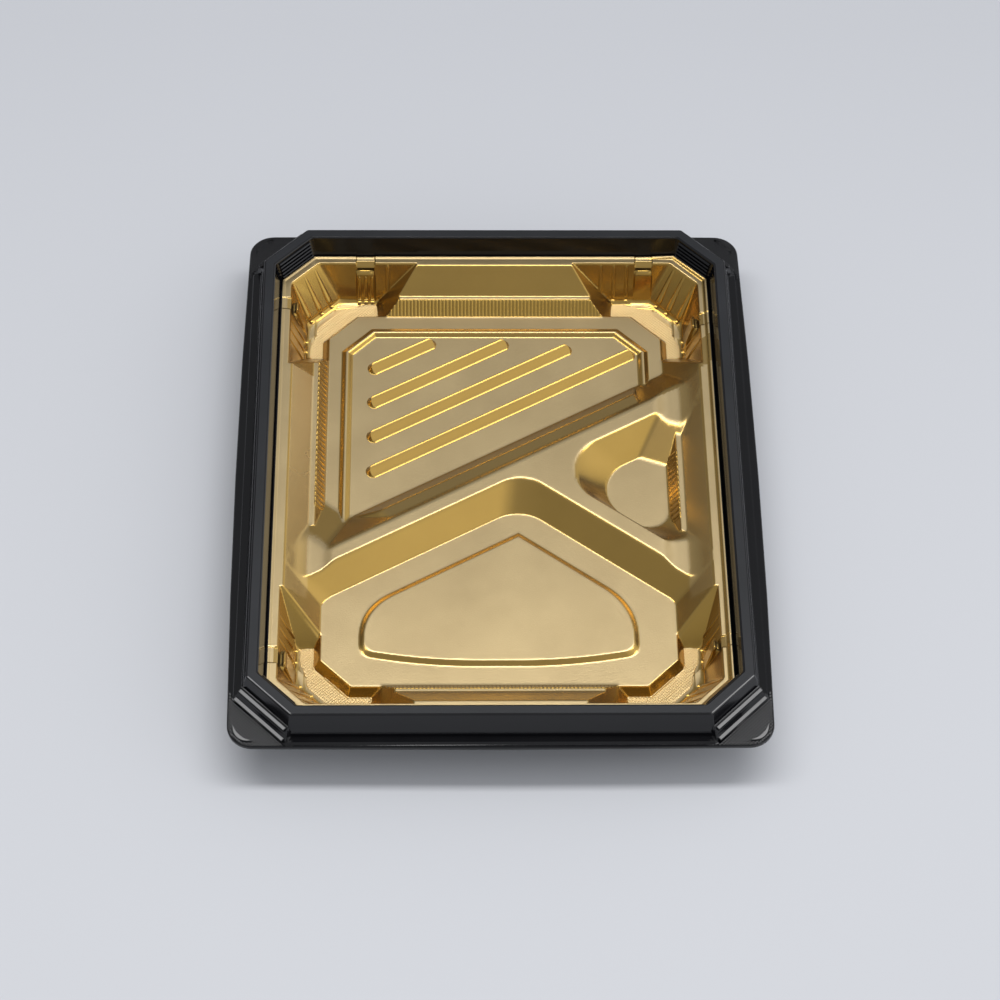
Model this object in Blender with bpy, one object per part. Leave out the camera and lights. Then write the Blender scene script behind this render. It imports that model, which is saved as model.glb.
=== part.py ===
"""Bento container: a black formed base and a gold formed tray that drops into it.

Both pieces are thermoformed sheets. Every outline follows one eight-sided outline, the inner edge of
the base's rim, set in by a distance, so a change of that outline carries through both pieces.
Sizes are in millimetres. A level is a drop below the top of the rim. X is right and Y is back.
The origin is on the table, under the middle of the base.
"""
import math

import bmesh
import bpy
from mathutils import Vector

MM = 0.001

# Inner edge of the rim, the outline that all others follow
RIM_HALF_X = 92.0
RIM_HALF_Y = 117.5
RIM_CHAMFER = 14.75
CORNER_EASE = 1.6
CORNER_STEPS = 5
CHAMFER_SHARE = 2.0 - math.sqrt(2.0)

# Base, formed from one sheet
BASE_SHEET = 0.7
RIM_WIDTH = 5.0
RIM_ROUND = 0.9
FLANGE_DROP = 11.0
FLANGE_REACH = 9.9
TAB_DROP = 12.0
TAB_STEP_RUN = 0.7
TAB_REACH_X = 12.0
TAB_REACH_Y = 11.4
TAB_LIP = 1.4
TAB_RADIUS = 10.0
SIDE_BOW_X = 1.5
SIDE_BOW_Y = 0.7
SIDE_POINTS = 3
INNER_WALL_RUN = 2.1
SEAT_WIDTH = 3.2
TUB_WALL_RUN = 3.4
FOOT_WIDTH = 7.0
FOOT_HEIGHT = 2.4
FOOT_SLOPE_RUN = 1.6

# Outside of the rim from its foot up, as (reach from the rim's inner edge, drop). The sides have two
# faint steps; the chamfers have two ledges, which a lid would snap over.
SIDE_WALL = ((7.25, 11.0), (7.0, 9.4), (6.8, 9.3), (6.15, 5.9), (5.9, 5.7))
CORNER_WALL = ((9.5, 9.5), (8.8, 9.2), (8.0, 6.4), (6.55, 6.0), (6.0, 4.0))
CORNER_FOOT = ((10.9, 12.0), (10.2, 11.6))

# Ribs inside the chamfers and grip arcs on the tabs
CORNER_RIB_COUNT = 5
CORNER_RIB_PITCH = 1.6
CORNER_RIB_DROP = 1.7
CORNER_RIB_RADIUS = 0.42
CORNER_RIB_INSET = 2.0
BAR_SIDES = 8
GRIP_ARC_RADIUS = 7.6
GRIP_ARC_ANGLE = 80.0
GRIP_ARC_STEPS = 10
GRIP_ARC_BEAD = 0.9
GRIP_ARC_THIN = 0.35

# Tray, formed from one thinner sheet
TRAY_SHEET = 0.5
CLEARANCE = 0.3
# Sideways growth for each millimetre that a space is lowered, which keeps the sheet even on a slope
PANEL_SPREAD = math.tan(math.radians(22.5))
WELL_SPREAD = math.tan(math.radians(35.0))
RIDGE_SPREAD = 0.35
FORM_SPREAD = 0.3
STEP_SPREAD = 0.5
TRAY_DROP = 9.0
TRAY_LIP_HEIGHT = 2.0
TRAY_LIP_RUN = 1.0
FLANGE_INNER = 6.25
PANEL_TOP_INSET = 7.6
FLOOR_INSET_X = 22.0
FLOOR_INSET_Y = 23.5
FLOOR_CORNER = 12.2
FLOOR_DEPTH = 14.6

# Corner wells, which are also the tray's feet
WELL_DEPTH = 19.0
WELL_WALL_RUN = 5.6
WELL_FILLET_RUN = 3.8
WELL_FILLET_RISE = 2.7
WELL_FILLET_STEPS = 4
WELL_FOOT_CHAMFER = 13.9
WELL_FOOT_EASE = 8.0
STEP_RUN = 2.9
WELL_END_X = 33.0
WELL_END_Y = 56.5
WELL_END_SLOPE = 0.96
WELL_END_SKEW = 0.085

# Ledges with fluted bands under them
LEDGE_DEPTH = 8.8
LEDGE_WIDTH = 2.3

# Y-shaped ridge between the compartments
RIDGE_TOP_DEPTH = 5.8
RIDGE_END_GAP = 0.6
RIDGE_LEFT_ANGLE = 30.0
RIDGE_RIGHT_ANGLE = -37.3
RIDGE_BACK_FOOT = 18.8
RIDGE_BACK_RUN = 14.6
RIDGE_WIDTH = 6.2
RIDGE_FRONT_RUN = 9.1
ARM_BACK_EDGE = 16.5
ARM_WIDTH = 7.1
ARM_FRONT_RUN = 9.7
ARM_BACK_RUN = 5.0
CUP_BACK_EDGE = -2.9
CUP_BACK_RUN = 10.6
SADDLE_INSET = 6.0
SADDLE_DROP = 2.2
SADDLE_BLEND_RISE = 3.8
SADDLE_BLEND_STEPS = 5
SADDLE_OVERRUN = 0.35
SHELF_LEFT_INSET = 25.0
SHELF_RIGHT_INSET = 13.0
SHELF_RUN = 6.5
SHELF_FALL = 1.4
SHELF_ROOT = 1.5
SHELF_SINK = 0.05
SHELF_FOOT_GAP = 0.1
SHELF_END_SPREAD = 1.0

# Corner radii of the compartments, at the floor and at the ridge
BACK_LEFT_RADII = (14.0, 9.7)
BACK_RIGHT_RADII = (5.5, 8.0)
FRONT_SIDE_RADII = (12.0, 8.0)
FRONT_APEX_RADII = (16.0, 15.0)
CUP_LEFT_RADII = (16.0, 17.0)
CUP_BACK_RADII = (9.0, 14.0)
CUP_FRONT_RADII = (8.0, 12.0)
POCKET_STEPS = 7
POCKET_SIDE_GAP = 1.4
POCKET_FAR_RADIUS = 5.0
CUP_FLOOR_GAP = 0.6
CUP_TOP_GAP = 0.4

# Raised forms on the floors; a form's root reaches this far under the floor, into the sheet
FORM_ROOT = 1.0
BEAD_INSET_X = 8.0
BEAD_INSET_Y = 9.5
BEAD_CHAMFER = 11.0
BEAD_END_GAP = 2.0
BEAD_WIDTH = 3.8
BEAD_CREST = 0.8
BEAD_HEIGHT = 0.75
RIB_ANGLE = 30.5
RIB_START_INSET = 19.0
RIB_FIRST_GAP = 17.6
RIB_PITCH_Y = 18.1
RIB_BACK_GAPS = (4.7, 4.7, 7.4, 10.0)
RIB_SIDE_GAP = 7.9
RIB_WIDTH = 6.2
RIB_CREST = 1.5
RIB_HEIGHT = 1.3
PLATEAU_HEIGHT = 0.8
PLATEAU_SLOPE = 1.2
PLATEAU_BACK_INSET = 12.3
PLATEAU_SIDE_INSET = 16.5
PLATEAU_FRONT_CUT_X = 22.5
PLATEAU_FRONT_CUT_Y = 4.9
PLATEAU_FRONT_INSET = 10.8
PLATEAU_RADIUS = 9.0
PLATEAU_FRONT_RADIUS = 3.0

# Derived levels and sizes
SEAT_DROP = TRAY_DROP + TRAY_SHEET + CLEARANCE
FLOOR_DROP = TRAY_DROP + FLOOR_DEPTH
WELL_DROP = TRAY_DROP + WELL_DEPTH
RIDGE_DROP = TRAY_DROP + RIDGE_TOP_DEPTH
LEDGE_DROP = TRAY_DROP + LEDGE_DEPTH
TUB_FLOOR_DROP = WELL_DROP + TRAY_SHEET + CLEARANCE
BASE_HEIGHT = TUB_FLOOR_DROP + BASE_SHEET + FOOT_HEIGHT
FLOOR_HALF_X = RIM_HALF_X - FLOOR_INSET_X
FLOOR_HALF_Y = RIM_HALF_Y - FLOOR_INSET_Y
PANEL_HALF_X = RIM_HALF_X - PANEL_TOP_INSET
PANEL_HALF_Y = RIM_HALF_Y - PANEL_TOP_INSET
PANEL_RUN_X = PANEL_HALF_X - FLOOR_HALF_X
PANEL_RUN_Y = PANEL_HALF_Y - FLOOR_HALF_Y
BEAD_HALF_X = FLOOR_HALF_X - BEAD_INSET_X
BEAD_BACK_Y = FLOOR_HALF_Y - BEAD_INSET_Y
PLATEAU_HALF_X = FLOOR_HALF_X - PLATEAU_SIDE_INSET
PLATEAU_FRONT_Y = PLATEAU_FRONT_INSET - FLOOR_HALF_Y

# How far the cutting solids run past what they cut
BELOW = 60.0
ABOVE = 12.0
OVERRUN = 10.0
FORM_SINK = 3.0
LEDGE_BEHIND = 4.0


def clear_scene():
    """Remove whatever the scene holds."""
    for thing in list(bpy.data.objects):
        bpy.data.objects.remove(thing, do_unlink=True)


def material(name, colour, roughness, metallic):
    """Make a Principled material."""
    made = bpy.data.materials.new(name)
    made.use_nodes = True
    shader = made.node_tree.nodes["Principled BSDF"]
    shader.inputs["Base Color"].default_value = (*colour, 1.0)
    shader.inputs["Roughness"].default_value = roughness
    shader.inputs["Metallic"].default_value = metallic
    return made


def add_object(name, mesh_data, hidden=True):
    """Put a finished bmesh into the scene; a hidden object is only a cutter or an ingredient."""
    bmesh.ops.recalc_face_normals(mesh_data, faces=mesh_data.faces)
    mesh = bpy.data.meshes.new(name)
    mesh_data.to_mesh(mesh)
    mesh_data.free()
    made = bpy.data.objects.new(name, mesh)
    bpy.context.collection.objects.link(made)
    made.hide_render = hidden
    made.display_type = "WIRE" if hidden else "TEXTURED"
    return made


def combine(target, other, operation):
    """Join, cut or keep the overlap of two closed solids with an exact Boolean, then drop the second."""
    step = target.modifiers.new("step", "BOOLEAN")
    step.operation = operation
    step.solver = "EXACT"
    step.object = other
    graph = bpy.context.evaluated_depsgraph_get()
    result = bpy.data.meshes.new_from_object(target.evaluated_get(graph))
    target.modifiers.clear()
    old = target.data
    target.data = result
    bpy.data.meshes.remove(old)
    bpy.data.objects.remove(other, do_unlink=True)
    return target


def join_all(first, others):
    """Unite a list of solids with the first."""
    for other in others:
        combine(first, other, "UNION")
    return first


def rounded(corners, radii, steps):
    """Points of a convex outline with round corners, the same number at each corner."""
    points = []
    count = len(corners)
    for index, corner in enumerate(corners):
        here = Vector(corner)
        back = (Vector(corners[index - 1]) - here).normalized()
        ahead = (Vector(corners[(index + 1) % count]) - here).normalized()
        half = back.angle(ahead) / 2.0
        radius = radii[index]
        centre = here + (back + ahead).normalized() * (radius / math.sin(half))
        start = here + back * (radius / math.tan(half)) - centre
        sweep = math.pi - 2.0 * half
        turn = math.copysign(1.0, back.x * ahead.y - back.y * ahead.x)
        for step in range(steps):
            angle = -turn * sweep * step / (steps - 1)
            along = Vector((
                start.x * math.cos(angle) - start.y * math.sin(angle),
                start.x * math.sin(angle) + start.y * math.cos(angle),
            ))
            points.append(centre + along)
    return points


def octagon_corners(half_x, half_y, chamfer):
    """Corners of an eight-sided outline, counter-clockwise from the right side."""
    return [
        (half_x, -half_y + chamfer), (half_x, half_y - chamfer),
        (half_x - chamfer, half_y), (-half_x + chamfer, half_y),
        (-half_x, half_y - chamfer), (-half_x, -half_y + chamfer),
        (-half_x + chamfer, -half_y), (half_x - chamfer, -half_y),
    ]


def octagon(half_x, half_y, chamfer, ease=CORNER_EASE):
    """Eight-sided outline with eased corners."""
    return rounded(octagon_corners(half_x, half_y, chamfer), [ease] * 8, CORNER_STEPS)


def inset_octagon(inset, ease=CORNER_EASE):
    """The rim's inner edge set in by a distance, its sides kept parallel."""
    chamfer = RIM_CHAMFER - CHAMFER_SHARE * inset
    return octagon(RIM_HALF_X - inset, RIM_HALF_Y - inset, chamfer, ease)


def with_side_points(points, bow_x=0.0, bow_y=0.0):
    """Add points along the four sides of a base outline; a bow swells each side outwards."""
    full = []
    for index in range(0, len(points), CORNER_STEPS):
        full += points[index:index + CORNER_STEPS]
        corner = index // CORNER_STEPS
        if corner % 2 == 1:
            continue
        start = points[index + CORNER_STEPS - 1]
        end = points[index + CORNER_STEPS]
        run = (end - start).normalized()
        bow = bow_x if corner in (0, 4) else bow_y
        for step in range(1, SIDE_POINTS + 1):
            share = step / (SIDE_POINTS + 1)
            swell = 4.0 * share * (1.0 - share) * bow
            full.append(start.lerp(end, share) + Vector((run.y, -run.x)) * swell)
    return full


def tab_outline(shrink):
    """Outer edge of the base with its finger tabs, starting where the octagon starts."""
    half_x = RIM_HALF_X + TAB_REACH_X - shrink
    half_y = RIM_HALF_Y + TAB_REACH_Y - shrink
    corners = [(half_x, -half_y), (half_x, half_y), (-half_x, half_y), (-half_x, -half_y)]
    radii = [TAB_RADIUS - shrink] * 4
    points = rounded(corners, radii, 2 * CORNER_STEPS)
    return with_side_points(points[CORNER_STEPS:] + points[:CORNER_STEPS], SIDE_BOW_X, SIDE_BOW_Y)


def blended_section(side, corner):
    """One outline of the base whose sides follow one profile point and whose chamfers another."""
    side_points = inset_octagon(side[0])
    corner_points = inset_octagon(corner[0])
    points = []
    drops = []
    for index in range(len(side_points)):
        share = index % CORNER_STEPS / (CORNER_STEPS - 1)
        if index // CORNER_STEPS % 2 == 1:
            share = 1.0 - share
        points.append(corner_points[index].lerp(side_points[index], share))
        drops.append(-corner[1] + (corner[1] - side[1]) * share)
        if share == 1.0 and index // CORNER_STEPS % 2 == 0:
            drops += [-side[1]] * SIDE_POINTS
    return with_side_points(points), drops


def loft(name, sections):
    """Closed solid through outlines of equal point counts; each section is (points, drop or drops)."""
    made = bmesh.new()
    rings = []
    for points, drop in sections:
        drops = drop if isinstance(drop, list) else [drop] * len(points)
        rings.append([made.verts.new((p[0] * MM, p[1] * MM, -d * MM)) for p, d in zip(points, drops)])
    for low, high in zip(rings, rings[1:]):
        count = len(low)
        for index in range(count):
            after = (index + 1) % count
            made.faces.new((low[index], low[after], high[after], high[index]))
    made.faces.new(rings[0])
    made.faces.new(rings[-1])
    bmesh.ops.remove_doubles(made, verts=made.verts, dist=1e-7)
    bmesh.ops.triangulate(made, faces=[face for face in made.faces if len(face.verts) == 4])
    return add_object(name, made)


def prism(name, profile, start, end, away):
    """Closed solid of one profile, (distance along away, height), from start to end in plan."""
    made = bmesh.new()
    ends = []
    for spot in (start, end):
        ring = []
        for out, height in profile:
            place = spot + away * out
            ring.append(made.verts.new((place.x * MM, place.y * MM, height * MM)))
        ends.append(ring)
    count = len(profile)
    for index in range(count):
        after = (index + 1) % count
        made.faces.new((ends[0][index], ends[0][after], ends[1][after], ends[1][index]))
    made.faces.new(ends[0])
    made.faces.new(ends[1])
    return add_object(name, made)


def halfspace_block(name, low, high, planes):
    """A box trimmed by planes; each plane is (point, normal) and what the normal points at goes."""
    made = bmesh.new()
    bmesh.ops.create_cube(made, size=1.0)
    centre = (Vector(low) + Vector(high)) / 2.0
    size = Vector(high) - Vector(low)
    for vert in made.verts:
        spot = [centre[axis] + vert.co[axis] * size[axis] for axis in range(3)]
        vert.co = Vector(spot) * MM
    for point, normal in planes:
        cut = bmesh.ops.bisect_plane(
            made, geom=made.verts[:] + made.edges[:] + made.faces[:],
            plane_co=Vector(point) * MM, plane_no=Vector(normal), clear_outer=True,
        )
        edges = [item for item in cut["geom_cut"] if isinstance(item, bmesh.types.BMEdge)]
        bmesh.ops.contextual_create(made, geom=edges)
    return add_object(name, made)


def bar(name, start, end, radius):
    """A round bar between two points with flat ends, used for small beads and ribs."""
    made = bmesh.new()
    axis = Vector(end) - Vector(start)
    turn = Vector((0.0, 0.0, 1.0)).rotation_difference(axis).to_matrix().to_4x4()
    turn.translation = (Vector(start) + Vector(end)) / 2.0 * MM
    bmesh.ops.create_cone(
        made, cap_ends=True, segments=BAR_SIDES, radius1=radius * MM, radius2=radius * MM,
        depth=axis.length * MM, matrix=turn,
    )
    return add_object(name, made)


def line_point(angle, offset, x):
    """The point at x on a line at an angle whose distance behind the origin is the offset."""
    slope = math.radians(angle)
    return (x, (offset + math.sin(slope) * x) / math.cos(slope))


def crossing(angle_a, offset_a, angle_b, offset_b):
    """Where two such lines meet."""
    a = math.radians(angle_a)
    b = math.radians(angle_b)
    # Each line is -sin * x + cos * y = offset
    spread = -math.sin(a) * math.cos(b) + math.sin(b) * math.cos(a)
    x = (offset_a * math.cos(b) - offset_b * math.cos(a)) / spread
    y = (-math.sin(a) * offset_b + math.sin(b) * offset_a) / spread
    return (x, y)


def profile_offset(profile, distance):
    """Mitred offset of an open profile to its right-hand side."""
    moved = []
    for index, point in enumerate(profile):
        here = Vector(point)
        normals = []
        if index > 0:
            run = (here - Vector(profile[index - 1])).normalized()
            normals.append(Vector((run.y, -run.x)))
        if index < len(profile) - 1:
            run = (Vector(profile[index + 1]) - here).normalized()
            normals.append(Vector((run.y, -run.x)))
        mean = sum(normals, Vector((0.0, 0.0)))
        mean.normalize()
        moved.append(here + mean * (distance / mean.dot(normals[0])))
    return moved


def quarter(centre, radius, start, end, steps):
    """Points along an arc of a profile; angles in degrees."""
    points = []
    for step in range(steps + 1):
        angle = math.radians(start + (end - start) * step / steps)
        points.append((centre[0] + radius * math.cos(angle), centre[1] + radius * math.sin(angle)))
    return points


def base_profile(wall):
    """Upper side of the base from the tabs' plane to the floor, as (inset, height), with its wall."""
    outer = -RIM_WIDTH
    rim = quarter((outer + RIM_ROUND, -RIM_ROUND), RIM_ROUND, 180.0, 90.0, 3)
    rim += quarter((-RIM_ROUND, -RIM_ROUND), RIM_ROUND, 90.0, 0.0, 3)
    seat_in = INNER_WALL_RUN + SEAT_WIDTH
    tub_in = seat_in + TUB_WALL_RUN
    channel = TUB_FLOOR_DROP + FOOT_HEIGHT
    return (
        [(-reach, -drop) for reach, drop in wall]
        + rim
        + [
            (INNER_WALL_RUN, -SEAT_DROP),
            (seat_in, -SEAT_DROP),
            (tub_in, -channel),
            (tub_in + FOOT_WIDTH - FOOT_SLOPE_RUN, -channel),
            (tub_in + FOOT_WIDTH, -TUB_FLOOR_DROP),
        ]
    )


def under_profile(top):
    """The underside of such a profile, a sheet's thickness below it."""
    level_start = (top[0][0] - OVERRUN, top[0][1])
    return profile_offset([level_start] + top, BASE_SHEET)[1:]


def build_base():
    """The black base: flange with turned edge and tabs, rim, seat for the tray, tub and foot ring."""
    flange = ((FLANGE_REACH + TAB_STEP_RUN, TAB_DROP), (FLANGE_REACH, FLANGE_DROP))
    side = base_profile(flange + SIDE_WALL)
    corner = base_profile(CORNER_FOOT + CORNER_WALL)
    under = list(zip(under_profile(side), under_profile(corner)))
    sections = [blended_section(a, b) for a, b in reversed(under)]
    sections += [
        (tab_outline(BASE_SHEET), TAB_DROP + BASE_SHEET),
        (tab_outline(BASE_SHEET), TAB_DROP + TAB_LIP),
        (tab_outline(0.0), TAB_DROP + TAB_LIP),
        (tab_outline(0.0), TAB_DROP + BASE_SHEET / 2.0),
        (tab_outline(BASE_SHEET / 2.0), TAB_DROP),
    ]
    sections += [blended_section(a, b) for a, b in zip(side, corner)]
    base = loft("outer_base", sections)
    join_all(base, corner_ribs() + grip_arcs())
    return base


def chamfer_ends(inset, trim):
    """Ends of the back right chamfer of an inset octagon, shortened by a trim at both ends."""
    chamfer = RIM_CHAMFER - CHAMFER_SHARE * inset
    right = Vector((RIM_HALF_X - inset, RIM_HALF_Y - inset - chamfer))
    back = Vector((RIM_HALF_X - inset - chamfer, RIM_HALF_Y - inset))
    along = (back - right).normalized() * trim
    return right + along, back - along


def at_four_corners(name, start, end, drop, radius):
    """The same bar on each of the four chamfers."""
    bars = []
    for sign_x in (-1.0, 1.0):
        for sign_y in (-1.0, 1.0):
            first = (start.x * sign_x, start.y * sign_y, -drop)
            last = (end.x * sign_x, end.y * sign_y, -drop)
            bars.append(bar(name, first, last, radius))
    return bars


def corner_ribs():
    """Fine level ribs across each inner chamfer, above the tray's flange."""
    ribs = []
    for index in range(CORNER_RIB_COUNT):
        drop = CORNER_RIB_DROP + index * CORNER_RIB_PITCH
        inset = INNER_WALL_RUN * drop / SEAT_DROP
        start, end = chamfer_ends(inset, CORNER_RIB_INSET)
        ribs += at_four_corners("corner_rib", start, end, drop, CORNER_RIB_RADIUS)
    return ribs


def grip_arcs():
    """A raised arc near the round corner of each finger tab."""
    arcs = []
    centre_x = RIM_HALF_X + TAB_REACH_X - TAB_RADIUS
    centre_y = RIM_HALF_Y + TAB_REACH_Y - TAB_RADIUS
    middle = -TAB_DROP - BASE_SHEET / 2.0
    for sign_x in (-1.0, 1.0):
        for sign_y in (-1.0, 1.0):
            made = bmesh.new()
            rings = []
            for step in range(GRIP_ARC_STEPS + 1):
                angle = math.radians(45.0 + GRIP_ARC_ANGLE * (step / GRIP_ARC_STEPS - 0.5))
                swell = GRIP_ARC_THIN + (1.0 - GRIP_ARC_THIN) * math.sin(math.pi * step / GRIP_ARC_STEPS)
                ring = []
                for side in range(BAR_SIDES):
                    around = 2.0 * math.pi * side / BAR_SIDES
                    reach = GRIP_ARC_RADIUS + GRIP_ARC_BEAD * swell * math.cos(around)
                    ring.append(made.verts.new((
                        sign_x * (centre_x + reach * math.cos(angle)) * MM,
                        sign_y * (centre_y + reach * math.sin(angle)) * MM,
                        (middle + GRIP_ARC_BEAD * swell * math.sin(around)) * MM,
                    )))
                rings.append(ring)
            for low, high in zip(rings, rings[1:]):
                for side in range(BAR_SIDES):
                    after = (side + 1) % BAR_SIDES
                    made.faces.new((low[side], low[after], high[after], high[side]))
            made.faces.new(rings[0])
            made.faces.new(rings[-1])
            arcs.append(add_object("grip_arc", made))
    return arcs


def main_hollow(grow):
    """The tray's main hollow down to the floor, with plain sloping sides."""
    spread = PANEL_SPREAD * grow
    floor = octagon(FLOOR_HALF_X + spread, FLOOR_HALF_Y + spread, FLOOR_CORNER)
    top_chamfer = RIM_CHAMFER - CHAMFER_SHARE * PANEL_TOP_INSET + 1.0
    top = octagon(PANEL_HALF_X + spread, PANEL_HALF_Y + spread, top_chamfer)
    sections = [(floor, FLOOR_DROP + grow), (top, TRAY_DROP + grow)]
    if grow == 0.0:
        sections.append((top, TRAY_DROP - ABOVE))
    else:
        sections.append((top, TRAY_DROP + grow / 2.0))
    return loft("hollow", sections)


def well_hollow(grow):
    """The four deep corner wells, outside the step round the floor."""
    spread = WELL_SPREAD * grow
    fillet = []
    for step in range(WELL_FILLET_STEPS + 1):
        angle = math.pi / 2.0 * step / WELL_FILLET_STEPS
        out = WELL_FILLET_RUN * math.sin(angle)
        rise = WELL_FILLET_RISE * (1.0 - math.cos(angle))
        fillet.append((out, rise))
    foot_inset = FLANGE_INNER + WELL_WALL_RUN + WELL_FILLET_RUN
    sections = []
    for out, rise in fillet:
        inset = foot_inset - out - spread
        chamfer = WELL_FOOT_CHAMFER - CHAMFER_SHARE * (WELL_FILLET_RUN - out + spread)
        outline = octagon(RIM_HALF_X - inset, RIM_HALF_Y - inset, chamfer, WELL_FOOT_EASE)
        sections.append((outline, WELL_DROP + grow - rise))
    rim = inset_octagon(FLANGE_INNER - spread, 0.3)
    sections.append((rim, TRAY_DROP + grow))
    if grow == 0.0:
        sections.append((rim, TRAY_DROP - ABOVE))
    else:
        sections.append((rim, TRAY_DROP + grow / 2.0))
    wells = loft("wells", sections)
    combine(wells, floor_step(grow), "DIFFERENCE")
    return combine(wells, well_corners(grow), "INTERSECT")


def floor_step(grow):
    """The block that the floor's corners stand on, between the wells."""
    spread = -STEP_SPREAD * grow
    top = octagon(FLOOR_HALF_X + spread, FLOOR_HALF_Y + spread, FLOOR_CORNER)
    foot_x = FLOOR_HALF_X + STEP_RUN + spread
    foot_y = FLOOR_HALF_Y + STEP_RUN + spread
    foot = octagon(foot_x, foot_y, FLOOR_CORNER + STEP_RUN)
    below = octagon(foot_x, foot_y, FLOOR_CORNER + STEP_RUN)
    return loft("floor_step", [
        (below, WELL_DROP + BELOW), (foot, WELL_DROP + grow), (top, FLOOR_DROP + grow),
    ])


def well_end_planes(sign_x, sign_y, grow):
    """The two slanted facets that end a corner well, as (point, normal) planes."""
    across = Vector((-sign_x, WELL_END_SKEW * sign_y, -WELL_END_SLOPE))
    along = Vector((WELL_END_SKEW * sign_x, -sign_y, -WELL_END_SLOPE))
    at_back = Vector((sign_x * WELL_END_X, sign_y * PANEL_HALF_Y, -TRAY_DROP))
    at_side = Vector((sign_x * PANEL_HALF_X, sign_y * WELL_END_Y, -TRAY_DROP))
    return [
        (at_back + across.normalized() * grow, across),
        (at_side + along.normalized() * grow, along),
    ]


def well_corners(grow):
    """Four wedges of space that keep the wells to the tray's corners."""
    blocks = []
    for sign_x in (-1.0, 1.0):
        for sign_y in (-1.0, 1.0):
            near = Vector((sign_x * OVERRUN, sign_y * OVERRUN))
            far = Vector((sign_x * 2.0 * RIM_HALF_X, sign_y * 2.0 * RIM_HALF_Y))
            low = (min(near.x, far.x), min(near.y, far.y), -WELL_DROP - OVERRUN)
            high = (max(near.x, far.x), max(near.y, far.y), ABOVE)
            planes = well_end_planes(sign_x, sign_y, grow)
            blocks.append(halfspace_block("well_corner", low, high, planes))
    return join_all(blocks[0], blocks[1:])


def pocket(name, floor, floor_radii, top, top_radii, grow):
    """A compartment's space through the ridge, from its floor outline to its outline at the ridge."""
    spread = RIDGE_SPREAD * grow
    low = outset(rounded(floor, floor_radii, POCKET_STEPS), spread)
    high = outset(rounded(top, top_radii, POCKET_STEPS), spread)
    climb = (FLOOR_DROP - TRAY_DROP) / (FLOOR_DROP - RIDGE_DROP)
    over = [a + (b - a) * climb for a, b in zip(low, high)]
    return loft(name, [
        (low, FLOOR_DROP + BELOW), (low, FLOOR_DROP + grow), (high, RIDGE_DROP + grow),
        (over, TRAY_DROP + grow), (over, TRAY_DROP - ABOVE),
    ])


def outset(points, distance):
    """Move each point of a convex counter-clockwise outline outwards."""
    if distance == 0.0:
        return points
    moved = []
    count = len(points)
    for index, point in enumerate(points):
        run = (points[(index + 1) % count] - points[index - 1]).normalized()
        moved.append(point + Vector((run.y, -run.x)) * distance)
    return moved


def back_pocket(grow):
    """Space of the large back compartment, behind the ridge."""
    side = FLOOR_HALF_X + POCKET_SIDE_GAP
    rise = FLOOR_DROP - RIDGE_DROP
    high_side = side + PANEL_RUN_X * rise / FLOOR_DEPTH
    far = 2.0 * RIM_HALF_Y
    foot = RIDGE_BACK_FOOT
    edge = RIDGE_BACK_FOOT - RIDGE_BACK_RUN
    angle = RIDGE_LEFT_ANGLE
    floor = [line_point(angle, foot, -side), line_point(angle, foot, side), (side, far), (-side, far)]
    top = [
        line_point(angle, edge, -high_side), line_point(angle, edge, high_side),
        (high_side, far), (-high_side, far),
    ]
    far_radii = [POCKET_FAR_RADIUS, POCKET_FAR_RADIUS]
    floor_radii = [BACK_LEFT_RADII[0], BACK_RIGHT_RADII[0]] + far_radii
    top_radii = [BACK_LEFT_RADII[1], BACK_RIGHT_RADII[1]] + far_radii
    return pocket("back_pocket", floor, floor_radii, top, top_radii, grow)


def ridge_front_lines():
    """Offsets of the front compartment's two back lines, at the floor and at the ridge."""
    left_edge = RIDGE_BACK_FOOT - RIDGE_BACK_RUN - RIDGE_WIDTH
    right_edge = ARM_BACK_EDGE - ARM_WIDTH
    return left_edge - RIDGE_FRONT_RUN, right_edge - ARM_FRONT_RUN, left_edge, right_edge


def front_pocket(grow):
    """Space of the house-shaped front compartment, before the ridge."""
    side = FLOOR_HALF_X + POCKET_SIDE_GAP
    rise = FLOOR_DROP - RIDGE_DROP
    high_side = side + PANEL_RUN_X * rise / FLOOR_DEPTH
    far = -2.0 * RIM_HALF_Y
    left = RIDGE_LEFT_ANGLE
    right = RIDGE_RIGHT_ANGLE
    left_foot, right_foot, left_edge, right_edge = ridge_front_lines()
    floor = [
        (-side, far), (side, far), line_point(right, right_foot, side),
        crossing(left, left_foot, right, right_foot), line_point(left, left_foot, -side),
    ]
    top = [
        (-high_side, far), (high_side, far), line_point(right, right_edge, high_side),
        crossing(left, left_edge, right, right_edge), line_point(left, left_edge, -high_side),
    ]
    far_radii = [POCKET_FAR_RADIUS, POCKET_FAR_RADIUS]
    floor_radii = far_radii + [FRONT_SIDE_RADII[0], FRONT_APEX_RADII[0], FRONT_SIDE_RADII[0]]
    top_radii = far_radii + [FRONT_SIDE_RADII[1], FRONT_APEX_RADII[1], FRONT_SIDE_RADII[1]]
    return pocket("front_pocket", floor, floor_radii, top, top_radii, grow)


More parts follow.
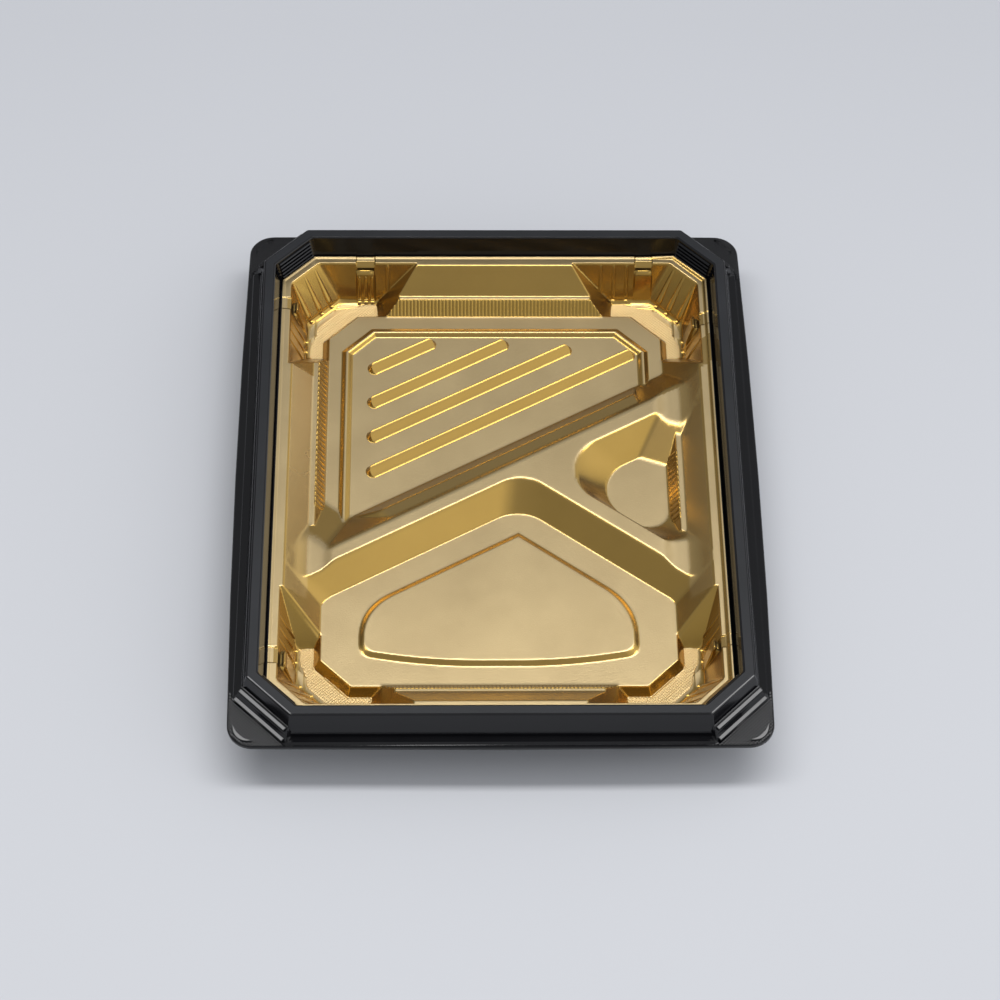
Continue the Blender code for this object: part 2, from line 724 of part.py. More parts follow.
def cup_pocket(grow):
    """Space of the small three-cornered cup at the right."""
    side = FLOOR_HALF_X - CUP_FLOOR_GAP
    high_side = PANEL_HALF_X - CUP_TOP_GAP
    left = RIDGE_LEFT_ANGLE
    right = RIDGE_RIGHT_ANGLE
    back_foot = CUP_BACK_EDGE - CUP_BACK_RUN
    front_foot = ARM_BACK_EDGE + ARM_BACK_RUN
    floor = [
        line_point(right, front_foot, side), line_point(left, back_foot, side),
        crossing(left, back_foot, right, front_foot),
    ]
    top = [
        line_point(right, ARM_BACK_EDGE, high_side), line_point(left, CUP_BACK_EDGE, high_side),
        crossing(left, CUP_BACK_EDGE, right, ARM_BACK_EDGE),
    ]
    floor_radii = [CUP_FRONT_RADII[0], CUP_BACK_RADII[0], CUP_LEFT_RADII[0]]
    top_radii = [CUP_FRONT_RADII[1], CUP_BACK_RADII[1], CUP_LEFT_RADII[1]]
    return pocket("cup_pocket", floor, floor_radii, top, top_radii, grow)


def ridge_slab(grow):
    """A slab as high as the ridge, lower near the side walls and blended up into them."""
    low = RIDGE_DROP + SADDLE_DROP + grow
    slope = FLOOR_DEPTH / PANEL_RUN_X
    crease = FLOOR_HALF_X + PANEL_SPREAD * grow + (FLOOR_DROP + grow - low) / slope
    rise = SADDLE_BLEND_RISE
    out = rise / slope
    tangent = math.hypot(rise, out)
    half = []
    for step in range(SADDLE_BLEND_STEPS + 1):
        share = step / SADDLE_BLEND_STEPS
        start = Vector((crease - tangent, -low))
        corner = Vector((crease, -low))
        end = Vector((crease + out, -low + rise))
        spot = start * (1.0 - share) ** 2 + corner * 2.0 * share * (1.0 - share) + end * share ** 2
        half.append((spot.x, spot.y))
    half = [(FLOOR_HALF_X - SADDLE_INSET, -RIDGE_DROP - grow)] + half
    half[-1] = (half[-1][0] + SADDLE_OVERRUN, half[-1][1])
    half.append((PANEL_HALF_X + OVERRUN, half[-1][1]))
    profile = half + [(PANEL_HALF_X + OVERRUN, -FLOOR_DROP - BELOW / 2.0)]
    profile += [(-x, z) for x, z in reversed(profile)]
    front = Vector((0.0, -RIM_HALF_Y))
    back = Vector((0.0, RIM_HALF_Y))
    slab = prism("ridge_slab", profile, front, back, Vector((1.0, 0.0)))
    planes = []
    for sign_y in (-1.0, 1.0):
        normal = Vector((0.0, sign_y, WELL_END_SLOPE))
        point = Vector((0.0, sign_y * (WELL_END_Y - RIDGE_END_GAP - grow), -TRAY_DROP))
        planes.append((point, normal))
    low_corner = (-RIM_HALF_X, -RIM_HALF_Y, -FLOOR_DROP - BELOW)
    high_corner = (RIM_HALF_X, RIM_HALF_Y, 0.0)
    span = halfspace_block("ridge_span", low_corner, high_corner, planes)
    return combine(slab, span, "INTERSECT")


def ridge(grow):
    """The Y-shaped ridge: the slab without the three compartments, plus its shelf."""
    made = ridge_slab(grow)
    combine(made, back_pocket(grow), "DIFFERENCE")
    combine(made, front_pocket(grow), "DIFFERENCE")
    combine(made, cup_pocket(grow), "DIFFERENCE")
    return combine(made, ridge_shelf(grow), "UNION")


def ridge_shelf(grow):
    """A shallow shelf along the back of the ridge, above its long slope."""
    edge = RIDGE_BACK_FOOT - RIDGE_BACK_RUN - RIDGE_SPREAD * grow
    foot = RIDGE_BACK_FOOT - RIDGE_SPREAD * grow
    top = RIDGE_DROP + grow
    profile = [
        (edge - SHELF_ROOT, -top - SHELF_SINK), (edge + SHELF_RUN, -top - SHELF_FALL),
        (foot - SHELF_FOOT_GAP, -FLOOR_DROP - grow), (foot - SHELF_FOOT_GAP, -FLOOR_DROP - FORM_SINK),
        (edge - SHELF_ROOT, -FLOOR_DROP - FORM_SINK),
    ]
    angle = math.radians(RIDGE_LEFT_ANGLE)
    run = Vector((math.cos(angle), math.sin(angle)))
    away = Vector((-math.sin(angle), math.cos(angle)))
    shrink = SHELF_END_SPREAD * grow
    start = run * ((SHELF_LEFT_INSET - FLOOR_HALF_X) / run.x + shrink)
    end = run * ((FLOOR_HALF_X - SHELF_RIGHT_INSET) / run.x - shrink)
    return prism("ridge_shelf", profile, start, end, away)


def food_space(grow):
    """All the open space above the tray's sheet; grown by the sheet, it is the tray's underside."""
    space = main_hollow(grow)
    for form in ledges(grow):
        combine(space, form, "DIFFERENCE")
    combine(space, well_hollow(grow), "UNION")
    for form in [ridge(grow)] + floor_ribs(grow) + [floor_bead(grow), floor_plateau(grow)]:
        combine(space, form, "DIFFERENCE")
    return space


def ledge(name, start, end, run, grow):
    """A ledge and the steep band under it, along the floor's edge from start to end."""
    spread = FORM_SPREAD * grow
    along = (Vector(end) - Vector(start)).normalized()
    inward = Vector((-along.y, along.x))
    profile = [
        (-spread, -FLOOR_DROP - grow), (-run + LEDGE_WIDTH - spread, -LEDGE_DROP - grow),
        (-run - LEDGE_BEHIND, -LEDGE_DROP - grow), (-run - LEDGE_BEHIND, -FLOOR_DROP - FORM_SINK),
        (-spread, -FLOOR_DROP - FORM_SINK),
    ]
    return prism(name, profile, Vector(start), Vector(end), inward)


def ledges(grow):
    """Ledges along the back, front and left walls and behind the cup."""
    drop_share = (FLOOR_DROP - LEDGE_DROP) / FLOOR_DEPTH
    side_run = PANEL_RUN_X * drop_share
    end_run = PANEL_RUN_Y * drop_share
    x = FLOOR_HALF_X
    y = FLOOR_HALF_Y
    left_start = line_point(RIDGE_LEFT_ANGLE, RIDGE_BACK_FOOT - RIDGE_BACK_RUN, -x)[1]
    cup_back = line_point(RIDGE_LEFT_ANGLE, CUP_BACK_EDGE, x)[1]
    cup_front = line_point(RIDGE_RIGHT_ANGLE, ARM_BACK_EDGE, x)[1]
    return [
        ledge("back_ledge", (x, y), (-x, y), end_run, grow),
        ledge("front_ledge", (-x, -y), (x, -y), end_run, grow),
        ledge("left_ledge", (-x, y - FLOOR_CORNER), (-x, left_start), side_run, grow),
        ledge("cup_ledge", (x, cup_front), (x, cup_back), side_run, grow),
    ]


def strip_outline(points, half):
    """Outline of a strip about a bent path, with square ends."""
    left = profile_offset(points, -half)
    right = profile_offset(points, half)
    ahead = (Vector(points[-1]) - Vector(points[-2])).normalized() * half
    back = (Vector(points[0]) - Vector(points[1])).normalized() * half
    left[0] += back
    right[0] += back
    left[-1] += ahead
    right[-1] += ahead
    return right + left[::-1]


def raised_strip(name, points, width, crest, height, grow):
    """A low ridge along a bent path on a floor, with sloping sides."""
    slope = (width - crest) / 2.0 / height
    shrink = FORM_SPREAD * grow
    low = strip_outline(points, width / 2.0 + slope * FORM_ROOT - shrink)
    high = strip_outline(points, crest / 2.0 - shrink)
    level = FLOOR_DROP + grow
    return loft(name, [(low, level + FORM_ROOT), (high, level - height)])


def floor_ribs(grow):
    """Four raised ribs across the back compartment, parallel to the ridge."""
    ribs = []
    angle = math.radians(RIB_ANGLE)
    run = Vector((math.cos(angle), math.sin(angle)))
    for index, back_gap in enumerate(RIB_BACK_GAPS):
        first = BEAD_BACK_Y - RIB_FIRST_GAP
        start = Vector((RIB_START_INSET - FLOOR_HALF_X, first - index * RIB_PITCH_Y))
        to_back = (BEAD_BACK_Y - back_gap - start.y) / run.y
        to_side = (BEAD_HALF_X - RIB_SIDE_GAP - start.x) / run.x
        end = start + run * min(to_back, to_side)
        ribs.append(raised_strip("floor_rib", [start, end], RIB_WIDTH, RIB_CREST, RIB_HEIGHT, grow))
    return ribs


def floor_bead(grow):
    """The bead round three sides of the back compartment's floor."""
    x = BEAD_HALF_X
    y = BEAD_BACK_Y
    cut = BEAD_CHAMFER
    points = [
        (-x, line_point(RIDGE_LEFT_ANGLE, RIDGE_BACK_FOOT, -x)[1] + BEAD_END_GAP),
        (-x, y - cut), (-x + cut, y), (x - cut, y), (x, y - cut),
        (x, line_point(RIDGE_LEFT_ANGLE, RIDGE_BACK_FOOT, x)[1] - BEAD_END_GAP),
    ]
    return raised_strip("floor_bead", points, BEAD_WIDTH, BEAD_CREST, BEAD_HEIGHT, grow)


def floor_plateau(grow):
    """The slightly raised house-shaped middle of the front compartment."""
    left_foot, right_foot, _, _ = ridge_front_lines()
    left_line = left_foot - PLATEAU_BACK_INSET
    right_line = right_foot - PLATEAU_BACK_INSET
    left = RIDGE_LEFT_ANGLE
    right = RIDGE_RIGHT_ANGLE
    x = PLATEAU_HALF_X
    cut_x = x - PLATEAU_FRONT_CUT_X
    cut_y = PLATEAU_FRONT_Y + PLATEAU_FRONT_CUT_Y
    corners = [
        (-cut_x, PLATEAU_FRONT_Y), (cut_x, PLATEAU_FRONT_Y), (x, cut_y), line_point(right, right_line, x),
        crossing(left, left_line, right, right_line), line_point(left, left_line, -x), (-x, cut_y),
    ]
    radii = [PLATEAU_FRONT_RADIUS] * 2 + [PLATEAU_RADIUS] * 5
    outline = rounded(corners, radii, POCKET_STEPS)
    slope = PLATEAU_SLOPE / PLATEAU_HEIGHT
    shrink = FORM_SPREAD * grow
    top = outset(outline, -shrink)
    low = outset(outline, slope * (PLATEAU_HEIGHT + FORM_ROOT) - shrink)
    level = FLOOR_DROP + grow
    return loft("plateau", [(low, level + FORM_ROOT), (top, level - PLATEAU_HEIGHT)])


def tray_flange():
    """The tray's flat flange and the small lip turned up round it, as one closed ring."""
    under = TRAY_DROP + TRAY_SHEET
    lip_in = INNER_WALL_RUN * under / SEAT_DROP + CLEARANCE + TRAY_SHEET + TRAY_LIP_RUN
    inner = FLANGE_INNER + FORM_SINK
    profile = [
        (inner, -under), (lip_in - TRAY_SHEET / 2.0, -under),
        (lip_in - TRAY_SHEET - TRAY_LIP_RUN, -TRAY_DROP + TRAY_LIP_HEIGHT),
        (lip_in - TRAY_LIP_RUN, -TRAY_DROP + TRAY_LIP_HEIGHT), (lip_in + TRAY_SHEET / 2.0, -TRAY_DROP),
        (inner, -TRAY_DROP),
    ]
    made = bmesh.new()
    rings = []
    for inset, height in profile:
        ring = [(p.x * MM, p.y * MM, height * MM) for p in inset_octagon(inset)]
        rings.append([made.verts.new(spot) for spot in ring])
    count = len(rings[0])
    for low, high in zip(rings, rings[1:] + rings[:1]):
        for index in range(count):
            after = (index + 1) % count
            made.faces.new((low[index], low[after], high[after], high[index]))
    return add_object("inner_tray", made)


def build_tray():
    """The gold tray: its flange and grown space, less the food space with its raised forms."""
    tray = combine(tray_flange(), food_space(TRAY_SHEET), "UNION")
    return combine(tray, food_space(0.0), "DIFFERENCE")


def finish(piece, look):
    """Stand a finished piece on the table, give it its material and shade it."""
    shape = bmesh.new()
    shape.from_mesh(piece.data)
    bmesh.ops.translate(shape, verts=shape.verts, vec=(0.0, 0.0, BASE_HEIGHT * MM))
    bmesh.ops.remove_doubles(shape, verts=shape.verts, dist=2e-6)
    bmesh.ops.dissolve_degenerate(shape, edges=shape.edges, dist=2e-6)
    loose = [edge for edge in shape.edges if not edge.link_faces]
    bmesh.ops.delete(shape, geom=loose, context="EDGES")
    bmesh.ops.triangulate(shape, faces=shape.faces)
    bmesh.ops.recalc_face_normals(shape, faces=shape.faces)
    shape.to_mesh(piece.data)
    shape.free()
    piece.data.materials.clear()
    piece.data.materials.append(look)
    piece.data.shade_smooth()
    piece.data.set_sharp_from_angle(angle=math.radians(28.0))
    piece.hide_render = False
    piece.display_type = "TEXTURED"


def main():
    """Build both pieces."""
    clear_scene()
    black = material("black_plastic", (0.012, 0.012, 0.014), 0.32, 0.0)
    gold = material("gold_film", (0.62, 0.44, 0.17), 0.30, 1.0)
    finish(build_base(), black)
    finish(build_tray(), gold)


main()
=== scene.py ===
"""Looks of the bento container: a gold formed tray in a black formed base.

Both sheets follow one eight-sided outline. Lengths below are in millimetres, X to the right and Y to the
back, and heights are measured from the top of the black rim, so they are negative.
"""

import math

import bmesh
import bpy
import numpy as np
from mathutils import Matrix, Vector
from mathutils.bvhtree import BVHTree


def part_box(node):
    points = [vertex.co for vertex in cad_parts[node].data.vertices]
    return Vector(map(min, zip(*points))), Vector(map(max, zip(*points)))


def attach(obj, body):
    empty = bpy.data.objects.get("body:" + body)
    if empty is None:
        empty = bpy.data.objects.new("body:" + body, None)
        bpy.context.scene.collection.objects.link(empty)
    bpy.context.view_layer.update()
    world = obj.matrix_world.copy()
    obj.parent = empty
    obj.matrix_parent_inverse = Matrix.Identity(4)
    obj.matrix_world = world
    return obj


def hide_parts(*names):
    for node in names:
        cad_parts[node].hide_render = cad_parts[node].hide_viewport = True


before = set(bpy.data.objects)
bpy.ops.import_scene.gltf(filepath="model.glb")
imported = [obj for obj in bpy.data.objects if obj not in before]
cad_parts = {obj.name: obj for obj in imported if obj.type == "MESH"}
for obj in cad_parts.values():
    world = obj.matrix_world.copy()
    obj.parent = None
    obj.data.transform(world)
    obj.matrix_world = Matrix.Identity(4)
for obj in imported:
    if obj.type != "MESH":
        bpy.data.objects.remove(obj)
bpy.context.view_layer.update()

MM = 0.001
RIM_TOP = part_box("outer_base")[1][2] / MM
ROOT_TWO = math.sqrt(2.0)

# Inner edge of the rim, and how much shorter a chamfer gets for each millimetre that it is set in
RIM_HALF_X = 92.0
RIM_HALF_Y = 117.5
RIM_CHAMFER = 14.75
CHAMFER_SHARE = 2.0 - ROOT_TWO

# Levels of the tray
FLANGE_Z = -9.0
FLOOR_Z = -23.6
WELL_Z = -28.0
RIDGE_Z = -14.8
LEDGE_Z = -17.8
LIP_RISE = 0.2
LIP_CURL = 1.5
LIP_CURL_START = 60.0
LIP_CURL_RUN = 25.0
TRAY_SHEET = 0.5

# Plan sizes of the tray
FLOOR_HALF_X = 70.0
FLOOR_HALF_Y = 94.0
FLOOR_CHAMFER = 12.2
PANEL_FOOT_X = 75.5
PANEL_HALF_X = 84.4
PANEL_HALF_Y = 109.9
BAND_RUN_X = 3.5
BAND_RUN_Y = 4.6
TRAY_EDGE_INSET = 2.65
LIP_FOOT_INSET = 4.1
LIP_HEAD_INSET = 3.0
WELL_RIM_INSET = 6.25
WELL_FOOT_INSET = 11.85
WELL_FILLET = 3.8
WELL_FILLET_RISE = 2.7
WELL_CORNER_RIM = 131.46
WELL_CORNER_SLOPE = 0.565
WELL_CORNER_FILLET = 121.55
WELL_CORNER_FILLET_RUN = 5.37
FLOOR_CORNER_SLOPE = 0.468
STEP_SLOPE = 1.52
WELL_END_X = 33.0
WELL_END_Y = 56.5
WELL_END_SLOPE = 0.96
WELL_END_SKEW = 0.085

# The ridge: the angles of its two arms, and the saddle near the side walls
LEFT_ARM = math.radians(30.0)
RIGHT_ARM = math.radians(-37.3)
CUP_FACET = math.radians(70.0)
BACK_FACET = math.radians(232.0)
SADDLE_BLEND_START = 62.0
SADDLE_START = 64.0
SADDLE_RUN = 7.2
SADDLE_FALL = 1.2
SADDLE_EASE = 3.8

# Distance of each compartment wall from the middle, at the floor and at the ridge's level. The far walls lie
# outside the tray, because the outer walls close the compartments there.
POCKET_SIDE = (71.4, 80.1)
POCKET_FAR = (300.0, 309.0)
BACK_TO_LEFT_ARM = (-18.8, -4.2)
BACK_TO_FACET = (46.9, 70.6)
FRONT_TO_RIGHT_ARM = (-0.3, 9.4)
FRONT_TO_LEFT_ARM = (-11.1, -2.0)
CUP_TO_SIDE = (69.4, 84.0)
CUP_TO_FACET = (36.8, 56.2)
CUP_TO_LEFT_ARM = (-13.5, -2.9)
CUP_TO_RIGHT_ARM = (-21.5, -16.5)

# The shelf beside the ridge: distances behind the ridge's left arm, and its ends along that arm
SHELF_TOP_Z = RIDGE_Z - 0.9
SHELF_START = 5.0
SHELF_FALL = 0.2
SHELF_FOOT = 18.7
SHELF_FACE_SLOPE = 0.93
SHELF_LEFT_END = -57.4
SHELF_LEFT_SLOPE = 0.7
SHELF_RIGHT_END = 78.0
SHELF_RIGHT_SLOPE = 1.2

# Ends of the ledges along the side walls, as distances behind the ridge's arms
LEFT_LEDGE_END = 19.5
CUP_LEDGE_ENDS = (-13.0, 26.5)
LEDGE_END_SLOPE = 1.5

# Relief on the wells' walls: pleats at places along a wall, and lugs between two places
CHAMFER_PLEATS = (15.5, 24.2, 32.4)
SIDE_PLEATS = (69.8, 75.2, 80.6)
BACK_PLEATS = (-45.4, 45.3, 50.8, 56.3)
LUG_PLEATS = (-57.4, -54.7, -52.0)
PLEAT_TOP_DROP = 0.1
PLEAT_FOOT_Z = WELL_Z + 2.2
PLEAT_FOOT_RADIUS = 0.8
CHAMFER_PLEAT_SPANS = (131.5, 121.2)
LUG_PLEAT_TOP_INSET = 9.9
LUG_PLEAT_TOP_DROP = 4.1
LUG_PLEAT_FOOT_INSET = 12.6
BACK_LUGS = ((-58.6, -50.8), (59.7, 67.0))
SIDE_LUGS = ((-1.0, 86.0, 92.2), (1.0, 77.2, 83.6), (-1.0, -92.5, -85.2), (1.0, -85.6, -80.2))
BACK_LUG_DROP = 1.9
SIDE_LUG_DROP = 1.0
LUG_SINK = 0.25
LUG_START_INSET = 4.8
LUG_START_RUN = 3.0
LUG_BLOCK_INSET = 8.4
LUG_BLOCK_SLOPE = 1.7
LUG_FACE_INSET = 9.7
LUG_FACE_SLOPE = 5.0
LUG_BLOCK_HEIGHT = 2.0
LUG_END_INSET = 14.0

# Flutes and knurls. A row of flutes is its start, its end and its run from foot to ledge, each as x and y,
# and the side rows fade out at their ends. A field of knurls is its middle and length outward from a corner,
# and its middle and length beside that.
FLUTE_ROWS = (
    (-48.0, 93.6, 48.0, 93.6, 0.0, 5.4), (-48.0, -93.6, 48.0, -93.6, 0.0, -5.4),
    (-69.7, 72.0, -69.7, -12.0, -4.2, 0.0), (69.7, 19.0, 69.7, -18.0, 4.2, 0.0),
)
LEFT_FLUTES_END = -11.0
CUP_FLUTES_ENDS = (-17.0, 18.0)
WELL_KNURL_FIELD = (109.5, 21.0, 15.5, 44.0)
TAB_KNURL_FIELD = (157.0, 20.0, 17.0, 35.0)
FLUTE_PITCH = 1.5
SIDE_FLUTE_PITCH = 2.6
FLUTE_RISE = 0.5
KNURL_PITCH = 1.0
KNURL_RISE = 0.5
TAB_KNURL_RISE = 0.24

# The base
EDGE_ROUNDING = 0.7
TAB_Z = -12.0
TAB_EDGE_LOW = TAB_Z - 0.6
TAB_EDGE_HIGH = TAB_Z + 1.6
RIM_RIB_COUNT = 5
RIM_RIB_PITCH = 1.6
RIM_RIB_DROP = 1.7
RIM_RIB_RADIUS = 0.55
RIM_RIB_END_GAP = 3.4
RIM_WALL_RUN = 0.28
CHAMFER_BARS = ((8.1, 6.6), (10.2, 10.7))
BAR_LEAN = 13.0
BAR_WIDTH = 1.7
BAR_HEIGHT = 1.4
BAR_END_GAP = 2.5
BAR_ROUNDING = 0.25
CRESCENT_RADIUS = 7.6
CRESCENT_WIDTH = 1.2
CRESCENT_SPAN = 84.0
CRESCENT_RISE = 0.85
CRESCENT_SKIRT = 1.4
TAB_ARC_X = 94.0
TAB_ARC_Y = 118.9

# Forms on the floors
BEAD_HALF_X = 62.0
BEAD_BACK_Y = 84.5
BEAD_CHAMFER = 11.0
BEAD_END = 16.0
BEAD_HALF_WIDTH = 2.2
BEAD_SIDE_RUN = 1.7
FORM_RISE = 1.3
PLATEAU_HALF_X = 53.5
PLATEAU_FRONT_Y = 83.2
PLATEAU_FRONT_SLANT = (0.213, 0.977, 87.9)
PLATEAU_ROOF = (23.4, 12.6)
RIB_ANGLE = math.radians(30.0)
RIB_RISE = 3.0
RIB_RADIUS = 3.0
RIB_AXIS = -1.8
RIB_FRONT = -4.4
RIB_FRONT_RUN = 3.4
RIB_BACK = 1.0
RIB_BACK_RUN = 1.3
RIB_END_RUN = 1.5
RIB_STARTS_Y = (66.9, 48.8, 30.7, 12.6)
RIB_START_X = -51.0
RIB_LENGTHS = (25.4, 60.8, 91.4, 122.0)

# The tray's grain and its paler tone, a painted sheen, start where the sheet's normal points this far up, so
# faces turned up are painted lighter; the shelf has little of either and is left in painted darker shade
GRAIN_AND_SHEEN_FROM = 0.945
GRAIN_AND_SHEEN_RUN = 0.035
PLAIN_SHADED_SHELF = (4.6, 17.5)
PLAIN_SHADED_SHELF_LEFT = -52.0


def soft_max(a, b, ease):
    """The higher of two surfaces, with the crease between them filled over a height."""
    share = np.clip(0.5 + 0.5 * (a - b) / ease, 0.0, 1.0)
    return b + (a - b) * share + ease * share * (1.0 - share)


def soft_min(a, b, ease):
    """The lower of two surfaces, with the edge between them rounded off over a height."""
    return -soft_max(-a, -b, ease)


def across(angle, x, y):
    """Distance behind a line through the middle that lies at an angle."""
    return -math.sin(angle) * x + math.cos(angle) * y


def along(angle, x, y):
    """Distance along that line."""
    return math.cos(angle) * x + math.sin(angle) * y


def octagon_inset(x, y):
    """How far a point lies inside the rim's inner edge."""
    side = RIM_HALF_X - np.abs(x)
    end = RIM_HALF_Y - np.abs(y)
    corner = (RIM_HALF_X + RIM_HALF_Y - RIM_CHAMFER - np.abs(x) - np.abs(y)) / ROOT_TWO
    return np.minimum(np.minimum(side, end), corner)


def pocket_height(x, y, lines, radii):
    """Height of a compartment's sloping wall. Each line is (angle of its outward normal, distance at the
    floor, distance at the ridge); each pair of radii rounds the corner after a line, low and high."""
    rise = RIDGE_Z - FLOOR_Z
    normals = [(math.cos(angle), math.sin(angle)) for angle, low, high in lines]
    share = np.full(np.shape(x), -9.0)
    for (nx, ny), (angle, low, high) in zip(normals, lines):
        share = np.maximum(share, (nx * x + ny * y - low) / (high - low))
    for index, (radius_low, radius_high) in enumerate(radii):
        if radius_low == 0.0:
            continue
        first = Vector(normals[index])
        second = Vector(normals[(index + 1) % len(lines)])
        turn = Matrix((first, second)).inverted()
        after = lines[(index + 1) % len(lines)]
        low = turn @ Vector((lines[index][1] - radius_low, after[1] - radius_low))
        high = turn @ Vector((lines[index][2] - radius_high, after[2] - radius_high))
        run = high - low
        growth = radius_high - radius_low
        px = x - low.x
        py = y - low.y
        square = run.dot(run) - growth * growth
        linear = px * run.x + py * run.y + radius_low * growth
        constant = px * px + py * py - radius_low * radius_low
        under_root = linear * linear - square * constant
        root = (linear - np.sqrt(np.maximum(under_root, 0.0))) / square
        qx = px - run.x * root
        qy = py - run.y * root
        rounded = (-first.y * qx + first.x * qy > 0.0) & (-second.y * qx + second.x * qy < 0.0)
        rounded &= (under_root > 0.0) & (root > -0.6)
        share = np.where(rounded, root, share)
    return FLOOR_Z + rise * share


def back_compartment(x, y):
    """Wall height of the large back compartment towards the ridge, with the shelf below the ridge."""
    slope = pocket_height(x, y, [
        (LEFT_ARM - math.pi / 2.0, *BACK_TO_LEFT_ARM), (0.0, *POCKET_SIDE), (math.pi / 2.0, *POCKET_FAR),
        (math.pi, *POCKET_SIDE), (BACK_FACET, *BACK_TO_FACET),
    ], [(5.5, 8.0), (0.0, 0.0), (0.0, 0.0), (3.0, 3.0), (3.0, 3.0)])
    behind = across(LEFT_ARM, x, y)
    beside = along(LEFT_ARM, x, y)
    top = SHELF_TOP_Z - SHELF_FALL * (behind - SHELF_START)
    face = FLOOR_Z + SHELF_FACE_SLOPE * (SHELF_FOOT - behind)
    shelf = soft_min(top, face, 0.5)
    shelf = soft_min(shelf, FLOOR_Z + SHELF_LEFT_SLOPE * (beside - SHELF_LEFT_END), 1.6)
    shelf = soft_min(shelf, FLOOR_Z + SHELF_RIGHT_SLOPE * (SHELF_RIGHT_END - beside), 1.0)
    return soft_max(slope, shelf, 0.3)


def front_compartment(x, y):
    """Wall height of the house-shaped front compartment towards the ridge."""
    return pocket_height(x, y, [
        (0.0, *POCKET_SIDE), (RIGHT_ARM + math.pi / 2.0, *FRONT_TO_RIGHT_ARM),
        (LEFT_ARM + math.pi / 2.0, *FRONT_TO_LEFT_ARM), (math.pi, *POCKET_SIDE), (1.5 * math.pi, *POCKET_FAR),
    ], [(12.0, 8.0), (16.0, 15.0), (12.0, 8.0), (0.0, 0.0), (0.0, 0.0)])


def cup_compartment(x, y):
    """Wall height of the small cup towards the ridge."""
    return pocket_height(x, y, [
        (0.0, *CUP_TO_SIDE), (CUP_FACET, *CUP_TO_FACET), (LEFT_ARM + math.pi / 2.0, *CUP_TO_LEFT_ARM),
        (RIGHT_ARM - math.pi / 2.0, *CUP_TO_RIGHT_ARM),
    ], [(0.0, 0.0), (3.0, 4.0), (16.0, 17.0), (8.0, 12.0)])


def ridge_height(x, y, ground):
    """Height of the Y-shaped ridge, whose top runs softly into the side walls of a ground."""
    fall = np.clip((np.abs(x) - SADDLE_START) / SADDLE_RUN, 0.0, 1.0)
    top = RIDGE_Z - SADDLE_FALL * fall * fall * (3.0 - 2.0 * fall)
    top = np.minimum(top, FLANGE_Z - (np.abs(y) - WELL_END_Y + 0.6) / WELL_END_SLOPE)
    far = np.clip((np.abs(x) - SADDLE_BLEND_START) / 5.0, 0.0, 1.0)
    far *= np.clip((WELL_END_Y + 0.5 - np.abs(y)) / 6.0, 0.0, 1.0)
    top = soft_max(ground, top, 0.4 + (SADDLE_EASE - 0.4) * far)
    walls = soft_min(back_compartment(x, y), front_compartment(x, y), 0.8)
    walls = soft_min(walls, cup_compartment(x, y), 0.8)
    return soft_min(top, walls, 0.9)


def wall_height(x, y):
    """Height of the outer walls with the ledges above the fluted bands."""
    side = FLOOR_Z + (np.abs(x) - FLOOR_HALF_X) * (FLANGE_Z - FLOOR_Z) / (PANEL_HALF_X - FLOOR_HALF_X)
    end = FLOOR_Z + (np.abs(y) - FLOOR_HALF_Y) * (FLANGE_Z - FLOOR_Z) / (PANEL_HALF_Y - FLOOR_HALF_Y)
    band_x = FLOOR_Z + (np.abs(x) - FLOOR_HALF_X) * (LEDGE_Z - FLOOR_Z) / BAND_RUN_X
    band_y = FLOOR_Z + (np.abs(y) - FLOOR_HALF_Y) * (LEDGE_Z - FLOOR_Z) / BAND_RUN_Y
    side_ledge = soft_min(band_x, LEDGE_Z, 0.6)
    behind_left = across(LEFT_ARM, x, y)
    behind_right = across(RIGHT_ARM, x, y)
    left_end = LEDGE_Z + LEDGE_END_SLOPE * (behind_left - LEFT_LEDGE_END)
    inside_cup = np.minimum(CUP_LEDGE_ENDS[0] - behind_left, behind_right - CUP_LEDGE_ENDS[1])
    cup_ends = LEDGE_Z + LEDGE_END_SLOPE * inside_cup
    side_ledge = np.minimum(side_ledge, np.where(x < 0.0, left_end, cup_ends))
    end_ledge = soft_min(band_y, LEDGE_Z, 0.6)
    side = soft_max(side, side_ledge, 0.5)
    end = soft_max(end, end_ledge, 0.5)
    past_corner = np.abs(x) + np.abs(y) - FLOOR_HALF_X - FLOOR_HALF_Y + FLOOR_CHAMFER
    corner = FLOOR_Z + FLOOR_CORNER_SLOPE * past_corner
    return soft_max(soft_max(side, end, 1.0), corner, 1.0)


def ground_height(x, y, ribs):
    """Height of the floors with their raised forms, and of the wells' bottoms beyond the floors' step."""
    floor = FLOOR_Z + (np.maximum(floor_forms(x, y), rib_height(x, y)) if ribs else floor_forms(x, y))
    side = np.maximum(np.abs(x) - FLOOR_HALF_X, np.abs(y) - FLOOR_HALF_Y)
    corner = (np.abs(x) + np.abs(y) - FLOOR_HALF_X - FLOOR_HALF_Y + FLOOR_CHAMFER) / ROOT_TWO
    step = FLOOR_Z - STEP_SLOPE * soft_max(side, corner, 0.5)
    return soft_max(soft_min(step, floor, 0.5), WELL_Z, 0.6)


